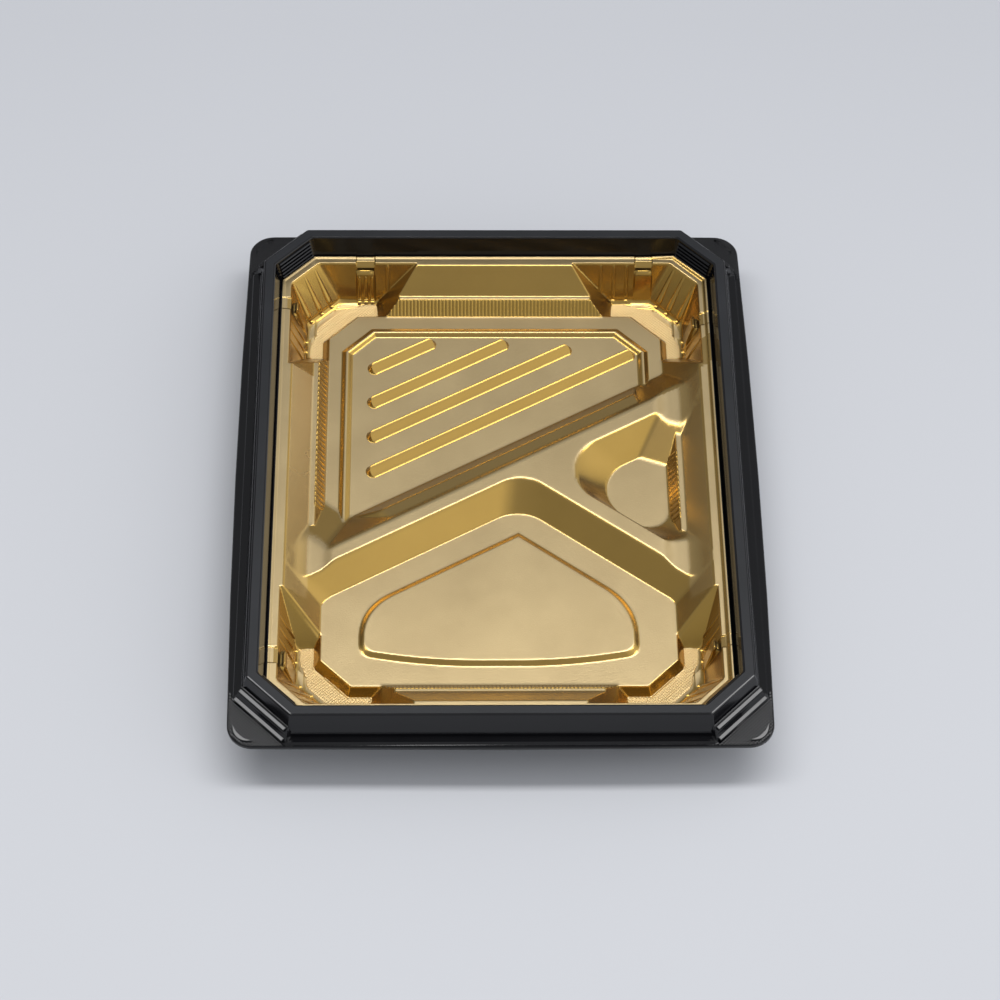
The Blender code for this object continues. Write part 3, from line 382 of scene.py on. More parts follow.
def well_height(x, y):
    """Height of the walls of the four corner wells, up to the flange."""
    side = RIM_HALF_X - np.abs(x)
    end = RIM_HALF_Y - np.abs(y)
    corner_span = (np.abs(x) + np.abs(y)) / ROOT_TWO
    corner = WELL_RIM_INSET + (WELL_CORNER_RIM - corner_span) * WELL_CORNER_SLOPE
    corner_fillet = np.clip((WELL_CORNER_FILLET - corner_span) / WELL_CORNER_FILLET_RUN, 0.0, 1.0)
    slope = (WELL_Z + WELL_FILLET_RISE - FLANGE_Z) / (WELL_FOOT_INSET - WELL_RIM_INSET)
    foot = WELL_Z + WELL_FILLET_RISE
    heights = []
    for inset in (side, end, corner):
        wall = FLANGE_Z + slope * (inset - WELL_RIM_INSET)
        share = np.clip((inset - WELL_FOOT_INSET) / WELL_FILLET, 0.0, 1.0)
        if inset is corner:
            share = corner_fillet
        past = np.maximum(inset - WELL_FOOT_INSET - WELL_FILLET, 0.0)
        fillet = foot - WELL_FILLET_RISE * np.sqrt(1.0 - (1.0 - share) ** 2) - past
        heights.append(np.where(share > 0.0, fillet, wall))
    outer = soft_max(soft_max(heights[0], heights[2], 2.5), soft_max(heights[1], heights[2], 2.5), 0.5)
    end_x = FLANGE_Z - (np.abs(x) - WELL_END_X - WELL_END_SKEW * (np.abs(y) - PANEL_HALF_Y)) / WELL_END_SLOPE
    end_y = FLANGE_Z - (np.abs(y) - WELL_END_Y - WELL_END_SKEW * (np.abs(x) - PANEL_HALF_X)) / WELL_END_SLOPE
    return soft_max(outer, soft_max(end_x, end_y, 0.8), 0.7)


def lug(height, place, inset, low, high, drop):
    """Cut a notch into the flange between two places, with a small block below it on the well's wall."""
    cut = FLANGE_Z - LUG_SINK - drop * np.clip((inset - LUG_START_INSET) / LUG_START_RUN, 0.0, 1.0)
    top = FLANGE_Z - drop - LUG_BLOCK_SLOPE * np.maximum(inset - LUG_BLOCK_INSET, 0.0)
    face = FLANGE_Z - drop - LUG_BLOCK_HEIGHT - LUG_FACE_SLOPE * (inset - LUG_FACE_INSET)
    block = np.maximum(np.minimum(top, face), height)
    notch = np.minimum(height, cut)
    share = rounded_step(np.clip(np.minimum(place - low, high - place) / 0.6 + 0.5, 0.0, 1.0))
    share = np.where(inset < LUG_END_INSET, share, 0.0)
    return height + share * (np.where(inset < LUG_BLOCK_INSET, notch, block) - height)


def rounded_step(share):
    """Turn a straight ramp from 0 to 1 into one with soft ends."""
    return share * share * (3.0 - 2.0 * share)


def pressed_form(share, rise):
    """Height of a straight-sided form with small roundings, from a share that grows towards its middle."""
    return soft_max(soft_min(share, 1.0, 0.3), 0.0, 0.3) * rise


def rib_height(x, y):
    """How far the four slanted ribs stand above the floor."""
    forms = np.zeros(np.shape(x))
    run = (math.cos(RIB_ANGLE), math.sin(RIB_ANGLE))
    for start_y, length in zip(RIB_STARTS_Y, RIB_LENGTHS):
        px = x - RIB_START_X
        py = y - start_y
        behind = -run[1] * px + run[0] * py
        beyond = np.maximum(-(px * run[0] + py * run[1]), px * run[0] + py * run[1] - length)
        reach = np.hypot(np.maximum(beyond, 0.0), behind - RIB_AXIS)
        sides = np.minimum((behind - RIB_FRONT) / RIB_FRONT_RUN, (RIB_BACK - behind) / RIB_BACK_RUN)
        share = np.minimum(sides, (RIB_RADIUS - reach) / RIB_END_RUN)
        forms = np.maximum(forms, pressed_form(share, RIB_RISE))
    return forms


def floor_forms(x, y):
    """How far the bead and the front plateau stand above the floor."""
    behind = across(LEFT_ARM, x, y)
    line = np.maximum(np.abs(x) - BEAD_HALF_X, y - BEAD_BACK_Y)
    corner = (np.abs(x) + y - BEAD_HALF_X - BEAD_BACK_Y + BEAD_CHAMFER) / ROOT_TWO
    off_line = np.abs(np.maximum(line, corner))
    bead = pressed_form((BEAD_HALF_WIDTH - off_line) / BEAD_SIDE_RUN, FORM_RISE)
    bead = np.where(behind > BEAD_END, bead, 0.0)
    sides = np.maximum(np.abs(x) - PLATEAU_HALF_X, -y - PLATEAU_FRONT_Y)
    slant_x, slant_y, slant_reach = PLATEAU_FRONT_SLANT
    front = (np.abs(x) * slant_x - y * slant_y) - slant_reach
    roof = np.maximum(behind + PLATEAU_ROOF[0], across(RIGHT_ARM, x, y) + PLATEAU_ROOF[1])
    outside = soft_max(soft_max(soft_max(sides, front, 5.0), roof, 12.0), -8.0, 0.5)
    plateau = pressed_form((1.5 - outside) / 2.0, FORM_RISE)
    return np.maximum(bead, plateau)


def tray_height(x, y, ribs=True):
    """Height of the tray's upper side at a place, with or without the floor's ribs."""
    inset = octagon_inset(x, y)
    walls = soft_min(wall_height(x, y), well_height(x, y), 0.6)
    height = soft_max(ground_height(x, y, ribs), walls, 0.9)
    height = soft_max(height, ridge_height(x, y, height), 0.5)
    height = soft_min(height, FLANGE_Z, 0.6)
    for low, high in BACK_LUGS:
        height = np.where(y > 0.0, lug(height, x, RIM_HALF_Y - y, low, high, BACK_LUG_DROP), height)
    for sign_x, low, high in SIDE_LUGS:
        notched = lug(height, y, RIM_HALF_X - np.abs(x), low, high, SIDE_LUG_DROP)
        height = np.where(sign_x * x > 0.0, notched, height)
    curl = rounded_step(np.clip((x - LIP_CURL_START) / LIP_CURL_RUN, 0.0, 1.0))
    curl *= 0.75 - 0.25 * y / RIM_HALF_Y
    lip_foot = LIP_FOOT_INSET + 0.7 * curl
    share = rounded_step(np.clip((lip_foot - inset) / (lip_foot - LIP_HEAD_INSET), 0.0, 1.0))
    return height + (LIP_RISE + LIP_CURL * curl) * share


def surface_normals(x, y, ribs=True, step=0.08):
    """Upward normals of the tray's upper side."""
    slope_x = (tray_height(x + step, y, ribs) - tray_height(x - step, y, ribs)) / (2.0 * step)
    slope_y = (tray_height(x, y + step, ribs) - tray_height(x, y - step, ribs)) / (2.0 * step)
    normals = np.stack([-slope_x, -slope_y, np.ones(np.shape(x))], axis=-1)
    return normals / np.linalg.norm(normals, axis=-1, keepdims=True)


def plan_positions(shape):
    """X and Y of all vertices, in millimetres."""
    places = np.array([vert.co[:2] for vert in shape.verts]) / MM
    return places[:, 0], places[:, 1]


def bent_faces(shape, limit, ribs):
    """Faces over which the surface's normal turns by more than a limit, in degrees."""
    faces = list(shape.faces)
    centres = np.array([face.calc_center_median()[:2] for face in faces]) / MM
    reach = np.array([math.sqrt(face.calc_area()) / 2.0 for face in faces]) / MM
    middle = surface_normals(centres[:, 0], centres[:, 1], ribs)
    least = np.ones(len(faces))
    for sign_x in (-1.0, 0.0, 1.0):
        for sign_y in (-1.0, 0.0, 1.0):
            for share in (0.5, 1.0):
                x = centres[:, 0] + sign_x * share * reach
                y = centres[:, 1] + sign_y * share * reach
                least = np.minimum(least, np.sum(middle * surface_normals(x, y, ribs), axis=-1))
    bent = least < math.cos(math.radians(limit))
    return [face for face, chosen in zip(faces, bent) if chosen]


def tray_plan(cell, limits, ribs):
    """A flat mesh of the tray's plan, made finer once for each limit where the tray's surface bends more."""
    half_x = RIM_HALF_X - TRAY_EDGE_INSET
    half_y = RIM_HALF_Y - TRAY_EDGE_INSET
    shape = bmesh.new()
    bmesh.ops.create_grid(
        shape, x_segments=round(2.0 * half_x / cell), y_segments=round(2.0 * half_y / cell), size=1.0)
    bmesh.ops.scale(shape, verts=shape.verts, vec=(half_x * MM, half_y * MM, 1.0))
    for limit in limits:
        edges = {edge for face in bent_faces(shape, limit, ribs) for edge in face.edges}
        bmesh.ops.subdivide_edges(shape, edges=list(edges), cuts=1, use_grid_fill=True)
    chamfer = RIM_CHAMFER - CHAMFER_SHARE * TRAY_EDGE_INSET
    cut_x = (half_x - chamfer / 2.0) * MM
    cut_y = (half_y - chamfer / 2.0) * MM
    for sign_x in (-1.0, 1.0):
        for sign_y in (-1.0, 1.0):
            bmesh.ops.bisect_plane(
                shape, geom=shape.verts[:] + shape.edges[:] + shape.faces[:], clear_outer=True,
                plane_co=(sign_x * cut_x, sign_y * cut_y, 0.0), plane_no=(sign_x, sign_y, 0.0))
    bmesh.ops.triangulate(shape, faces=[face for face in shape.faces if len(face.verts) > 4])
    return shape


def finished(name, shape, materials, smooth=True):
    """Turn a bmesh into an object at the origin with its materials."""
    mesh = bpy.data.meshes.new(name)
    shape.to_mesh(mesh)
    shape.free()
    piece = bpy.data.objects.new(name, mesh)
    bpy.context.collection.objects.link(piece)
    for item in materials:
        mesh.materials.append(item)
    if smooth:
        mesh.shade_smooth()
    return piece


def tray_top(gold):
    """The gold sheet's upper side without the ribs on its floor."""
    shape = tray_plan(cell=1.6, limits=(6.0, 10.0), ribs=False)
    x, y = plan_positions(shape)
    heights = tray_height(x, y, False)
    for vert, height in zip(shape.verts, heights):
        vert.co.z = (RIM_TOP + height) * MM
    normals = surface_normals(x, y, False)
    piece = finished("tray_sheet", shape, [gold])
    piece.data.normals_split_custom_set_from_vertices([tuple(normal) for normal in normals])
    # The shelf keeps only a fifth of the pale tone and grain: painted darker shade on the shelf, which is
    # also smoother
    behind = across(LEFT_ARM, x, y)
    on_shelf = (behind > PLAIN_SHADED_SHELF[0]) & (behind < PLAIN_SHADED_SHELF[1]) & (heights > FLOOR_Z + 0.5)
    on_shelf &= along(LEFT_ARM, x, y) > PLAIN_SHADED_SHELF_LEFT
    # Faces turned up get grain and a painted pale sheen, a paler tone that stands in for the light on the
    # flats
    level = np.clip((normals[:, 2] - GRAIN_AND_SHEEN_FROM) / GRAIN_AND_SHEEN_RUN, 0.0, 1.0)
    grain_and_sheen = piece.data.attributes.new("grain_and_sheen", "FLOAT", "POINT")
    # The steep side panels get grain and painted light from the right: the right panel a little of the pale
    # tone, the left panel more of it towards the back
    on_panel = (np.abs(x) > PANEL_FOOT_X) & (np.abs(y) < WELL_END_Y) & (heights < FLANGE_Z - 0.5)
    panel_light = np.where(x < 0.0, np.clip(0.3 + 0.5 * (y + 30.0) / 85.0, 0.2, 0.8), 0.3)
    level = np.where(on_panel, np.maximum(level, panel_light), level)
    grain_and_sheen.data.foreach_set("value", np.where(on_shelf, 0.2 * level, level))
    return piece


def tray_underside(gold):
    """The gold sheet's underside, one thickness below, joined to the lip's edge."""
    shape = tray_plan(cell=2.4, limits=(14.0,), ribs=True)
    rim = [edge for edge in shape.edges if edge.is_boundary]
    x, y = plan_positions(shape)
    normals = surface_normals(x, y, step=0.3)
    heights = tray_height(x, y)
    for vert, height, normal in zip(shape.verts, heights, normals):
        thickness = Vector(normal) * TRAY_SHEET
        vert.co = Vector((vert.co.x, vert.co.y, (RIM_TOP + height) * MM)) - thickness * MM
    bmesh.ops.reverse_faces(shape, faces=shape.faces)
    skirt = bmesh.ops.extrude_edge_only(shape, edges=rim)
    raised = [item for item in skirt["geom"] if isinstance(item, bmesh.types.BMVert)]
    bmesh.ops.translate(shape, verts=raised, vec=(0.0, 0.0, TRAY_SHEET * MM))
    return finished("tray_underside", shape, [gold])


def lay_on_tray(shape, relief):
    """Lay a flat mesh on the tray's upper side, raised by a relief, and drop the faces outside it."""
    x, y = plan_positions(shape)
    raised, inside = relief(x, y)
    heights = tray_height(x, y) + raised
    for vert, height in zip(shape.verts, heights):
        vert.co.z = (RIM_TOP + height) * MM
    shape.verts.index_update()
    outside = [face for face in shape.faces if not any(inside[vert.index] for vert in face.verts)]
    bmesh.ops.delete(shape, geom=outside, context="FACES")
    bmesh.ops.delete(shape, geom=[vert for vert in shape.verts if not vert.link_faces], context="VERTS")


def floor_ribs(gold):
    """The four slanted ribs on the floor of the back compartment."""
    shape = bmesh.new()
    run = Vector((math.cos(RIB_ANGLE), math.sin(RIB_ANGLE)))
    behind = Vector((-run.y, run.x))
    for start_y, length in zip(RIB_STARTS_Y, RIB_LENGTHS):
        made = bmesh.ops.create_grid(shape, x_segments=80, y_segments=36, size=0.5)
        for vert in made["verts"]:
            part = vert.co.x + 0.5
            place = 3.4 + (part - 0.4) * 5.0 * (length - 6.8)
            if part < 0.4:
                place = -3.6 + 17.5 * part
            if part > 0.6:
                place = length + 3.6 - 17.5 * (1.0 - part)
            place = Vector((RIB_START_X, start_y)) + run * place + behind * (-1.7 + 6.4 * vert.co.y)
            vert.co.x = place.x * MM
            vert.co.y = place.y * MM

    def relief(x, y):
        inside = rib_height(x, y) > 0.0
        return np.where(inside, 0.0, -0.05), inside

    lay_on_tray(shape, relief)
    x, y = plan_positions(shape)
    normals = surface_normals(x, y)
    piece = finished("tray_ribs", shape, [gold])
    piece.data.normals_split_custom_set_from_vertices([tuple(normal) for normal in normals])
    return piece


def flutes(gold):
    """Rows of half-round flutes on the bands below the ledges."""
    shape = bmesh.new()
    for start_x, start_y, end_x, end_y, run_x, run_y in FLUTE_ROWS:
        pitches = round(math.hypot(end_x - start_x, end_y - start_y) / FLUTE_PITCH)
        made = bmesh.ops.create_grid(shape, x_segments=pitches * 8, y_segments=10, size=0.5)
        for vert in made["verts"]:
            part = vert.co.x + 0.5
            rise = vert.co.y + 0.5
            vert.co.x = (start_x + (end_x - start_x) * part + run_x * rise) * MM
            vert.co.y = (start_y + (end_y - start_y) * part + run_y * rise) * MM

    def relief(x, y):
        on_side = np.abs(x) > 60.0
        place = np.where(on_side, y, x)
        reach = np.where(on_side, np.abs(x) - FLOOR_HALF_X, np.abs(y) - FLOOR_HALF_Y)
        run = np.where(on_side, BAND_RUN_X, BAND_RUN_Y)
        band = FLOOR_Z + reach * (LEDGE_Z - FLOOR_Z) / run
        above = tray_height(x, y) - band
        inside = (above > -0.35) & (above < 0.6) & (reach > -0.1) & (reach < run + 0.2)
        pitch = np.where(on_side, SIDE_FLUTE_PITCH, FLUTE_PITCH)
        phase = np.mod(place / pitch, 1.0) * 2.0 - 1.0
        round_top = np.sqrt(np.maximum(1.0 - phase * phase, 0.0))
        from_cup_end = np.minimum(y - CUP_FLUTES_ENDS[0], CUP_FLUTES_ENDS[1] - y)
        from_end = np.where(x < 0.0, y - LEFT_FLUTES_END, from_cup_end)
        round_top *= np.where(on_side, np.clip(from_end / 1.5, 0.0, 1.0), 1.0)
        return np.where(inside, FLUTE_RISE * pitch / FLUTE_PITCH * round_top - 0.05, -0.15), inside

    lay_on_tray(shape, relief)
    return finished("tray_flutes", shape, [gold])


def pleat_lines():
    """Top and foot of the pleats on the wells' walls, which way they stand out, and how wide they get."""
    lines = []
    for sign_x in (-1.0, 1.0):
        for sign_y in (-1.0, 1.0):
            for place in CHAMFER_PLEATS:
                ends = []
                for span, level in zip(CHAMFER_PLEAT_SPANS, (FLANGE_Z - PLEAT_TOP_DROP, PLEAT_FOOT_Z)):
                    total = span * ROOT_TWO
                    x = sign_x * (total - place) / 2.0
                    y = sign_y * (total + place) / 2.0
                    ends.append(Vector((x, y, level)))
                lines.append((*ends, Vector((-1.16 * sign_x, -1.16 * sign_y, 1.0)), 1.6))
            for place in SIDE_PLEATS:
                top = Vector((sign_x * (RIM_HALF_X - WELL_RIM_INSET), sign_y * place, FLANGE_Z))
                foot = Vector((sign_x * (RIM_HALF_X - WELL_FOOT_INSET), sign_y * (place + 0.8), PLEAT_FOOT_Z))
                lines.append((top, foot, Vector((-2.9 * sign_x, 0.0, 1.0)), 1.2))
    for place in BACK_PLEATS + LUG_PLEATS:
        top_inset, top_drop, foot_inset = WELL_RIM_INSET, PLEAT_TOP_DROP, WELL_FOOT_INSET
        if place in LUG_PLEATS:
            top_inset, top_drop, foot_inset = LUG_PLEAT_TOP_INSET, LUG_PLEAT_TOP_DROP, LUG_PLEAT_FOOT_INSET
        top = Vector((place, RIM_HALF_Y - top_inset, FLANGE_Z - top_drop))
        foot = Vector((place, RIM_HALF_Y - foot_inset, PLEAT_FOOT_Z))
        lines.append((top, foot, Vector((0.0, -2.9, 1.0)), 1.1))
    return lines


def pleats(gold):
    """Half-round folds on the wells' walls, from a point at the top to a blunt foot with a flat bead."""
    shape = bmesh.new()
    for top, foot, outward, half in pleat_lines():
        outward = outward.normalized()
        beside = (foot - top).cross(outward).normalized()
        made = bmesh.ops.create_grid(shape, x_segments=12, y_segments=16, size=0.5)
        for vert in made["verts"]:
            down = vert.co.y + 0.5
            turn = math.pi * vert.co.x
            blunt = math.sqrt(max(1.0 - (max(down - 0.88, 0.0) / 0.12) ** 2, 0.0))
            point = min(math.sqrt(down / 0.1), 1.0)
            width = (0.7 + (half - 0.7) * down) * blunt * point
            stand = (0.35 + (0.7 * half - 0.35) * down) * blunt * point
            place = top.lerp(foot, down) + beside * (width * math.sin(turn))
            place += outward * (stand * math.cos(turn) - 0.1)
            vert.co = Vector((place.x, place.y, place.z + RIM_TOP)) * MM
        lean = Matrix.Rotation(math.radians(18.0 if foot.y > 0.0 else 10.0), 4, "X")
        middle = foot + outward * 0.55 * half + Vector((0.0, 0.0, RIM_TOP - 0.2))
        bmesh.ops.create_uvsphere(
            shape, u_segments=16, v_segments=8, radius=PLEAT_FOOT_RADIUS * MM,
            matrix=Matrix.Translation(middle * MM) @ lean @ Matrix.Diagonal((1.0, 1.0, 0.22, 1.0)))
    bmesh.ops.recalc_face_normals(shape, faces=shape.faces)
    bmesh.ops.reverse_faces(shape, faces=[face for face in shape.faces if face.normal.z < -0.3])
    return finished("well_pleats", shape, [gold])


def knurl_relief(x, y, rise):
    """Small pyramids in rows at 45 degrees."""
    first = 0.5 + 0.5 * np.cos(math.tau * (x + y) / ROOT_TWO / KNURL_PITCH)
    second = 0.5 + 0.5 * np.cos(math.tau * (x - y) / ROOT_TWO / KNURL_PITCH)
    return rise * (first + second) / 2.0


def corner_fields(field, x_segments, y_segments):
    """Flat grids across the four corners, from a field's middle and length outward and beside that."""
    out_middle, out_length, beside_middle, beside_length = field
    shape = bmesh.new()
    for sign_x in (-1.0, 1.0):
        for sign_y in (-1.0, 1.0):
            made = bmesh.ops.create_grid(shape, x_segments=x_segments, y_segments=y_segments, size=0.5)
            for vert in made["verts"]:
                out = out_middle + out_length * vert.co.x
                beside = beside_middle + beside_length * vert.co.y
                vert.co.x = sign_x * (out - beside) / ROOT_TWO * MM
                vert.co.y = sign_y * (out + beside) / ROOT_TWO * MM
    return shape


def well_knurls(gold):
    """Knurled bottoms of the four corner wells."""
    shape = corner_fields(WELL_KNURL_FIELD, 84, 176)

    def relief(x, y):
        inside = tray_height(x, y) < WELL_Z + 0.5
        return np.where(inside, knurl_relief(x, y, KNURL_RISE) + 0.02, -0.05), inside

    lay_on_tray(shape, relief)
    bmesh.ops.recalc_face_normals(shape, faces=shape.faces)
    piece = finished("well_knurls", shape, [gold])
    # The knurls get grain and a painted pale sheen, a paler tone standing in for the glints on their pyramids
    grain_and_sheen = piece.data.attributes.new("grain_and_sheen", "FLOAT", "POINT")
    grain_and_sheen.data.foreach_set("value", np.full(len(piece.data.vertices), 0.8))
    return piece


def base_shell(black):
    """The black base, with the upper edges of its flange and finger tabs rounded."""
    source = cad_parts["outer_base"]
    shape = bmesh.new()
    shape.from_mesh(source.data)
    shape.transform(source.matrix_world)
    bmesh.ops.remove_doubles(shape, verts=shape.verts, dist=0.000001)
    bmesh.ops.dissolve_limit(shape, angle_limit=math.radians(0.5), verts=shape.verts, edges=shape.edges)
    bmesh.ops.recalc_face_normals(shape, faces=shape.faces)
    edges = [
        edge for edge in shape.edges
        if edge.is_convex and len(edge.link_faces) == 2 and edge.calc_face_angle() > math.radians(50.0)
        and TAB_EDGE_LOW < min(vert.co.z for vert in edge.verts) / MM - RIM_TOP
        and max(vert.co.z for vert in edge.verts) / MM - RIM_TOP < TAB_EDGE_HIGH
        and max(face.normal.z for face in edge.link_faces) > 0.9
    ]
    bmesh.ops.bevel(
        shape, geom=edges, offset=EDGE_ROUNDING * MM, segments=4, affect="EDGES", profile=0.5, material=-1,
        clamp_overlap=True)
    piece = finished("base_shell", shape, [black])
    # The rim's top faces get grain and are painted a little lighter than the walls, as painted light on a top
    # face
    grain_and_sheen = piece.data.attributes.new("grain_and_sheen", "FLOAT", "FACE")
    for value, face in zip(grain_and_sheen.data, piece.data.polygons):
        value.value = 1.0 if face.center.z > (RIM_TOP - 0.2) * MM and face.normal.z > 0.99 else 0.0
    piece.data.set_sharp_from_angle(angle=math.radians(12.0))
    weighted = piece.modifiers.new("weighted", "WEIGHTED_NORMAL")
    weighted.keep_sharp = True
    return piece


def chamfer_ribs(black):
    """Level ribs across the inner side of each chamfer of the rim, above the tray."""
    shape = bmesh.new()
    for sign_x in (-1.0, 1.0):
        for sign_y in (-1.0, 1.0):
            for index in range(RIM_RIB_COUNT):
                drop = RIM_RIB_DROP + index * RIM_RIB_PITCH
                inset = RIM_WALL_RUN * drop
                back = inset * CHAMFER_SHARE / 2.0 + RIM_CHAMFER / 2.0 + inset * 0.35
                middle = Vector((sign_x * (RIM_HALF_X - back), sign_y * (RIM_HALF_Y - back), RIM_TOP - drop))
                turn = Matrix.Rotation(-math.pi / 4.0 * sign_x * sign_y, 4, "Z")
                turn = turn @ Matrix.Rotation(math.pi / 2.0, 4, "Y")
                radius = RIM_RIB_RADIUS * MM
                bmesh.ops.create_cone(
                    shape, segments=6, cap_ends=True, cap_tris=False, radius1=radius, radius2=radius,
                    depth=(RIM_CHAMFER * ROOT_TWO - RIM_RIB_END_GAP) * MM,
                    matrix=Matrix.Translation(middle * MM) @ turn)
    piece = finished("chamfer_ribs", shape, [black])
    piece.data.set_sharp_from_angle(angle=math.radians(30.0))
    return piece


def chamfer_bars(black):
    """Two level bars along the outer side of each chamfer, with their flat tops leaning outward."""
    shape = bmesh.new()
    for sign_x in (-1.0, 1.0):
        for sign_y in (-1.0, 1.0):
            outward = Vector((sign_x, sign_y, 0.0)).normalized()
            beside = outward.cross(Vector((0.0, 0.0, 1.0)))
            for reach, drop in CHAMFER_BARS:
                leg = RIM_CHAMFER + CHAMFER_SHARE * reach
                out = reach - leg / 2.0
                place = Vector((sign_x * (RIM_HALF_X + out), sign_y * (RIM_HALF_Y + out), RIM_TOP - drop))
                turn = Matrix((beside, outward, (0.0, 0.0, 1.0))).transposed().to_4x4()
                turn = turn @ Matrix.Rotation(-math.radians(BAR_LEAN), 4, "X")
                length = leg * ROOT_TWO - BAR_END_GAP
                size = Matrix.Diagonal((length * MM, BAR_WIDTH * MM, BAR_HEIGHT * MM, 1.0))
                place = Matrix.Translation(place * MM)
                made = bmesh.ops.create_cube(shape, size=1.0, matrix=place @ turn @ size)
                edges = {edge for vert in made["verts"] for edge in vert.link_edges}
                bmesh.ops.bevel(
                    shape, geom=list(edges), offset=BAR_ROUNDING * MM, segments=3, affect="EDGES",
                    profile=0.5, material=-1)
    piece = finished("chamfer_bars", shape, [black])
    piece.data.set_sharp_from_angle(angle=math.radians(14.0))
    return piece


def grip_crescents(black):
    """A raised crescent near the round corner of each finger tab, leaning outward."""
    shape = bmesh.new()
    for sign_x in (-1.0, 1.0):
        for sign_y in (-1.0, 1.0):
            made = bmesh.ops.create_grid(shape, x_segments=20, y_segments=3, size=0.5)
            for vert in made["verts"]:
                angle = math.radians(45.0 + CRESCENT_SPAN * vert.co.x)
                reach = CRESCENT_RADIUS + CRESCENT_WIDTH * vert.co.y * math.cos(math.pi * vert.co.x)
                out = reach * math.cos(angle - math.pi / 4.0) - CRESCENT_RADIUS + 0.8
                x = sign_x * (TAB_ARC_X + reach * math.cos(angle))
                y = sign_y * (TAB_ARC_Y + reach * math.sin(angle))
                z = RIM_TOP + TAB_Z + CRESCENT_RISE - math.tan(math.radians(BAR_LEAN)) * out
                vert.co = Vector((x, y, z)) * MM
    rims = [edge for edge in shape.edges if edge.is_boundary]
    skirt = bmesh.ops.extrude_edge_only(shape, edges=rims)
    lowered = [item for item in skirt["geom"] if isinstance(item, bmesh.types.BMVert)]
    bmesh.ops.translate(shape, verts=lowered, vec=(0.0, 0.0, -CRESCENT_SKIRT * MM))
    bmesh.ops.recalc_face_normals(shape, faces=shape.faces)
    piece = finished("grip_crescents", shape, [black])
    piece.data.set_sharp_from_angle(angle=math.radians(30.0))
    return piece


def tab_knurls(black, shell):
    """Knurled upper faces of the four finger tabs."""
    ground = BVHTree.FromObject(shell, bpy.context.evaluated_depsgraph_get())
    shape = corner_fields(TAB_KNURL_FIELD, 80, 140)
    x, y = plan_positions(shape)
    rise = knurl_relief(x, y, TAB_KNURL_RISE)
    off_tab = set()
    for vert, height in zip(shape.verts, rise):
        above = Vector((vert.co.x, vert.co.y, 1.0))
        place, normal, index, distance = ground.ray_cast(above, Vector((0.0, 0.0, -1.0)))
        if place is None or normal.z < 0.99 or abs(place.z / MM - RIM_TOP - TAB_Z) > 0.3:
            off_tab.add(vert)
        else:
            vert.co.z = place.z + (height - 0.02) * MM
    outside = [face for face in shape.faces if any(vert in off_tab for vert in face.verts)]
    bmesh.ops.delete(shape, geom=outside, context="FACES")
    bmesh.ops.delete(shape, geom=[vert for vert in shape.verts if not vert.link_faces], context="VERTS")
    bmesh.ops.recalc_face_normals(shape, faces=shape.faces)
    return finished("tab_knurls", shape, [black])


def socket(group, name, kind, is_input, value=None):
    """Add a named socket to a node group."""
    made = group.interface.new_socket(
        name=name, in_out="INPUT" if is_input else "OUTPUT", socket_type="NodeSocket" + kind)
    if value is not None:
        made.default_value = value
    return made


def grain_group():
    """Fine grain of a rolled or formed sheet: a height for a bump, and a faint mottling mask."""
    group = bpy.data.node_groups.new("sheet_grain", "ShaderNodeTree")
    socket(group, "Scale", "Float", True, 900.0)
    socket(group, "Stretch", "Float", True, 1.0)
    socket(group, "Height", "Float", False)
    socket(group, "Mottle", "Float", False)
    nodes = group.nodes
    links = group.links
    start = nodes.new("NodeGroupInput")
    end = nodes.new("NodeGroupOutput")
    place = nodes.new("ShaderNodeTexCoord")
    stretch = nodes.new("ShaderNodeCombineXYZ")
    stretch.inputs["Y"].default_value = 1.0
    stretch.inputs["Z"].default_value = 1.0
    scaled = nodes.new("ShaderNodeVectorMath")
    scaled.operation = "MULTIPLY"
    links.new(start.outputs["Stretch"], stretch.inputs["X"])
    links.new(place.outputs["Object"], scaled.inputs[0])
    links.new(stretch.outputs["Vector"], scaled.inputs[1])
    fine = nodes.new("ShaderNodeTexNoise")
    fine.inputs["Detail"].default_value = 2.0
    fine.inputs["Roughness"].default_value = 0.6
    links.new(scaled.outputs["Vector"], fine.inputs["Vector"])
    links.new(start.outputs["Scale"], fine.inputs["Scale"])
    broad = nodes.new("ShaderNodeTexNoise")
    broad.inputs["Scale"].default_value = 45.0
    broad.inputs["Detail"].default_value = 3.0
    links.new(place.outputs["Object"], broad.inputs["Vector"])
    links.new(fine.outputs["Fac"], end.inputs["Height"])
    links.new(broad.outputs["Fac"], end.inputs["Mottle"])
    return group


def two_tones(nodes, links, mottle, light, dark):
    """A colour that wanders between two tones with the mottling."""
    colour = nodes.new("ShaderNodeValToRGB")
    colour.color_ramp.elements[0].position = 0.3
    colour.color_ramp.elements[0].color = (*dark, 1.0)
    colour.color_ramp.elements[1].position = 0.7
    colour.color_ramp.elements[1].color = (*light, 1.0)
    links.new(mottle, colour.inputs["Fac"])
    return colour.outputs["Color"]


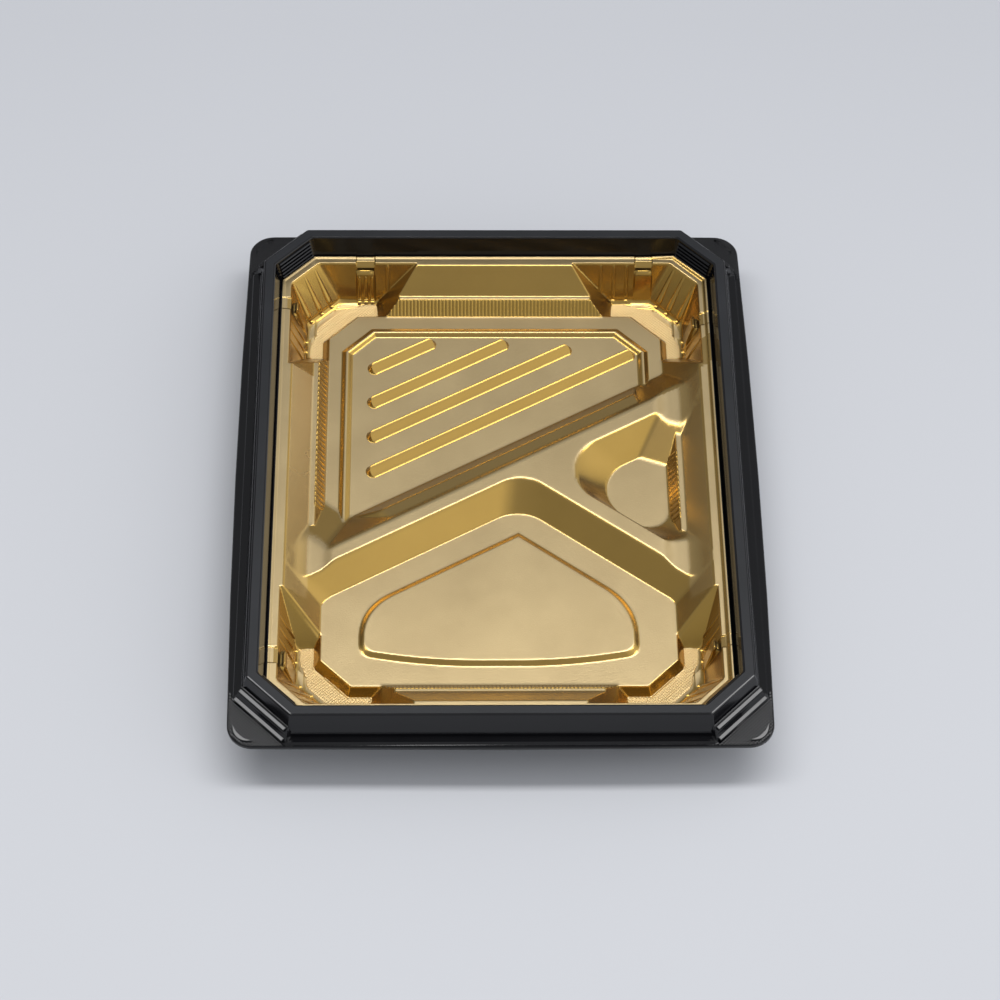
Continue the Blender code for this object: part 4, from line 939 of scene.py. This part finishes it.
def sheet_material(name, group, tones, roughness, metallic, specular, coat, grain_scale, bump):
    """A formed sheet. Each pair in the tones and roughness is for plain places and for places with grain and
    painted sheen, where the paler tone is painted light, and each tone is a light and a dark colour for the
    mottling. The coat is its weight and roughness."""
    made = bpy.data.materials.new(name)
    made.use_nodes = True
    nodes = made.node_tree.nodes
    links = made.node_tree.links
    shader = nodes["Principled BSDF"]
    shader.inputs["Metallic"].default_value = metallic
    shader.inputs["Specular IOR Level"].default_value = specular
    shader.inputs["Coat Weight"].default_value = coat[0]
    shader.inputs["Coat Roughness"].default_value = coat[1]
    grain = nodes.new("ShaderNodeGroup")
    grain.node_tree = group
    grain.inputs["Scale"].default_value = grain_scale
    grain.inputs["Stretch"].default_value = 0.6
    grain_and_sheen = nodes.new("ShaderNodeAttribute")
    grain_and_sheen.attribute_name = "grain_and_sheen"
    # The paler tone where the mask is high is painted sheen
    mixed = nodes.new("ShaderNodeMix")
    mixed.data_type = "RGBA"
    links.new(grain_and_sheen.outputs["Fac"], mixed.inputs["Factor"])
    for index, (light, dark) in zip((6, 7), tones):
        links.new(two_tones(nodes, links, grain.outputs["Mottle"], light, dark), mixed.inputs[index])
    links.new(mixed.outputs[2], shader.inputs["Base Color"])
    gloss = nodes.new("ShaderNodeMapRange")
    gloss.inputs["To Min"].default_value = roughness[0]
    gloss.inputs["To Max"].default_value = roughness[1]
    links.new(grain_and_sheen.outputs["Fac"], gloss.inputs["Value"])
    uneven = nodes.new("ShaderNodeMapRange")
    uneven.inputs["To Min"].default_value = 0.88
    uneven.inputs["To Max"].default_value = 1.12
    links.new(grain.outputs["Mottle"], uneven.inputs["Value"])
    rough = nodes.new("ShaderNodeMath")
    rough.operation = "MULTIPLY"
    links.new(gloss.outputs["Result"], rough.inputs[0])
    links.new(uneven.outputs["Result"], rough.inputs[1])
    links.new(rough.outputs["Value"], shader.inputs["Roughness"])
    depth = nodes.new("ShaderNodeMapRange")
    depth.inputs["To Min"].default_value = 0.15
    links.new(grain_and_sheen.outputs["Fac"], depth.inputs["Value"])
    height = nodes.new("ShaderNodeMath")
    height.operation = "MULTIPLY"
    links.new(grain.outputs["Height"], height.inputs[0])
    links.new(depth.outputs["Result"], height.inputs[1])
    relief = nodes.new("ShaderNodeBump")
    relief.inputs["Strength"].default_value = 1.0
    relief.inputs["Distance"].default_value = bump
    links.new(height.outputs["Value"], relief.inputs["Height"])
    links.new(relief.outputs["Normal"], shader.inputs["Normal"])
    return made


def floor_material():
    """A pale matte floor with painted light: it grows slightly lighter towards the front."""
    made = bpy.data.materials.new("pale_floor")
    made.use_nodes = True
    nodes = made.node_tree.nodes
    links = made.node_tree.links
    place = nodes.new("ShaderNodeTexCoord")
    split = nodes.new("ShaderNodeSeparateXYZ")
    ahead = nodes.new("ShaderNodeMapRange")
    ahead.inputs["From Min"].default_value = 0.28
    ahead.inputs["From Max"].default_value = -0.28
    tone = nodes.new("ShaderNodeValToRGB")
    tone.color_ramp.elements[0].color = (0.48, 0.49, 0.52, 1.0)
    tone.color_ramp.elements[1].color = (0.60, 0.61, 0.64, 1.0)
    links.new(place.outputs["Object"], split.inputs["Vector"])
    links.new(split.outputs["Y"], ahead.inputs["Value"])
    links.new(ahead.outputs["Result"], tone.inputs["Fac"])
    links.new(tone.outputs["Color"], nodes["Principled BSDF"].inputs["Base Color"])
    nodes["Principled BSDF"].inputs["Roughness"].default_value = 0.6
    return made


def stage_floor():
    """A pale floor that runs far past the picture."""
    shape = bmesh.new()
    bmesh.ops.create_grid(shape, x_segments=1, y_segments=1, size=6.0)
    floor = finished("floor", shape, [floor_material()], smooth=False)


def area_lamp(name, place, target, size_x, size_y, watts):
    """A rectangular soft lamp aimed at a point."""
    data = bpy.data.lights.new(name, "AREA")
    data.shape = "RECTANGLE"
    data.size = size_x
    data.size_y = size_y
    data.energy = watts
    lamp = bpy.data.objects.new(name, data)
    bpy.context.collection.objects.link(lamp)
    lamp.location = place
    lamp.rotation_euler = (Vector(target) - Vector(place)).to_track_quat("-Z", "Y").to_euler()
    return lamp


def studio():
    """Soft overhead light in a surround that grows brighter towards the right and the front."""
    world = bpy.data.worlds.new("studio")
    bpy.context.scene.world = world
    world.use_nodes = True
    nodes = world.node_tree.nodes
    links = world.node_tree.links
    direction = nodes.new("ShaderNodeTexCoord")
    split = nodes.new("ShaderNodeSeparateXYZ")
    tone = nodes.new("ShaderNodeValToRGB")
    steps = ((0.0, 0.34), (0.55, 0.38), (1.0, 1.2))
    while len(tone.color_ramp.elements) < len(steps):
        tone.color_ramp.elements.new(0.5)
    for element, (position, level) in zip(tone.color_ramp.elements, steps):
        element.position = position
        element.color = (0.95 * level, 0.97 * level, level, 1.0)
    links.new(direction.outputs["Generated"], split.inputs["Vector"])
    sideways = nodes.new("ShaderNodeMapRange")
    sideways.inputs["From Min"].default_value = -1.0
    links.new(split.outputs["X"], sideways.inputs["Value"])
    links.new(sideways.outputs["Result"], tone.inputs["Fac"])
    links.new(tone.outputs["Color"], nodes["Background"].inputs["Color"])
    ahead = nodes.new("ShaderNodeMapRange")
    ahead.inputs["From Min"].default_value = -1.0
    ahead.inputs["To Min"].default_value = 1.6
    links.new(split.outputs["Y"], ahead.inputs["Value"])
    links.new(ahead.outputs["Result"], nodes["Background"].inputs["Strength"])
    area_lamp("overhead", (0.02, 0.2, 1.2), (0.02, 0.18, 0.0), size_x=1.9, size_y=0.22, watts=11.0)


def camera():
    """The photograph's view, solved from the tray's parallel edges."""
    pitch = 0.925024504
    yaw = 0.0316872489
    roll = 0.0243422715
    look = Vector((math.sin(yaw) * math.cos(pitch), math.cos(yaw) * math.cos(pitch), -math.sin(pitch)))
    right = Vector((math.cos(yaw), -math.sin(yaw), 0.0))
    up = right.cross(look)
    turned_right = right * math.cos(roll) + up * math.sin(roll)
    turned_up = up * math.cos(roll) - right * math.sin(roll)
    data = bpy.data.cameras.new("photo_view")
    data.lens = 108.72
    data.sensor_width = 36.0
    viewer = bpy.data.objects.new("photo_view", data)
    bpy.context.collection.objects.link(viewer)
    matrix = Matrix((turned_right, turned_up, -look)).transposed().to_4x4()
    matrix.translation = Vector((-22.188, -740.347, 954.561 + RIM_TOP)) * MM
    viewer.matrix_world = matrix
    bpy.context.scene.camera = viewer


def main():
    """Make the materials and pieces, and set the stage."""
    bpy.context.scene.view_settings.view_transform = "Standard"
    camera()
    studio()
    stage_floor()
    grain = grain_group()
    # The gold's paler second tone pair is painted sheen for faces turned up
    gold = sheet_material(
        "gold_laminate", grain,
        tones=(((0.41, 0.25, 0.045), (0.38, 0.23, 0.04)), ((0.65, 0.49, 0.245), (0.62, 0.46, 0.225))),
        roughness=(0.22, 0.32), metallic=1.0, specular=0.5, coat=(0.7, 0.38),
        grain_scale=2600.0, bump=0.00005)
    # The black's lighter second tone pair is painted light on the rim's top, along with its grain
    black = sheet_material(
        "black_formed_sheet", grain,
        tones=(
            ((0.003, 0.003, 0.004), (0.002, 0.002, 0.003)), ((0.008, 0.009, 0.012), (0.005, 0.006, 0.008))),
        roughness=(0.14, 0.45), metallic=0.0, specular=0.4, coat=(0.0, 0.1),
        grain_scale=1800.0, bump=0.00005)
    shell = base_shell(black)
    trims = (chamfer_ribs(black), chamfer_bars(black), grip_crescents(black), tab_knurls(black, shell))
    for piece in (shell, *trims):
        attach(piece, "base")
    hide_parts("outer_base")
    top = tray_top(gold)
    for piece in (top, tray_underside(gold), floor_ribs(gold), flutes(gold), pleats(gold), well_knurls(gold)):
        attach(piece, "tray")
    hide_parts("inner_tray")


main()
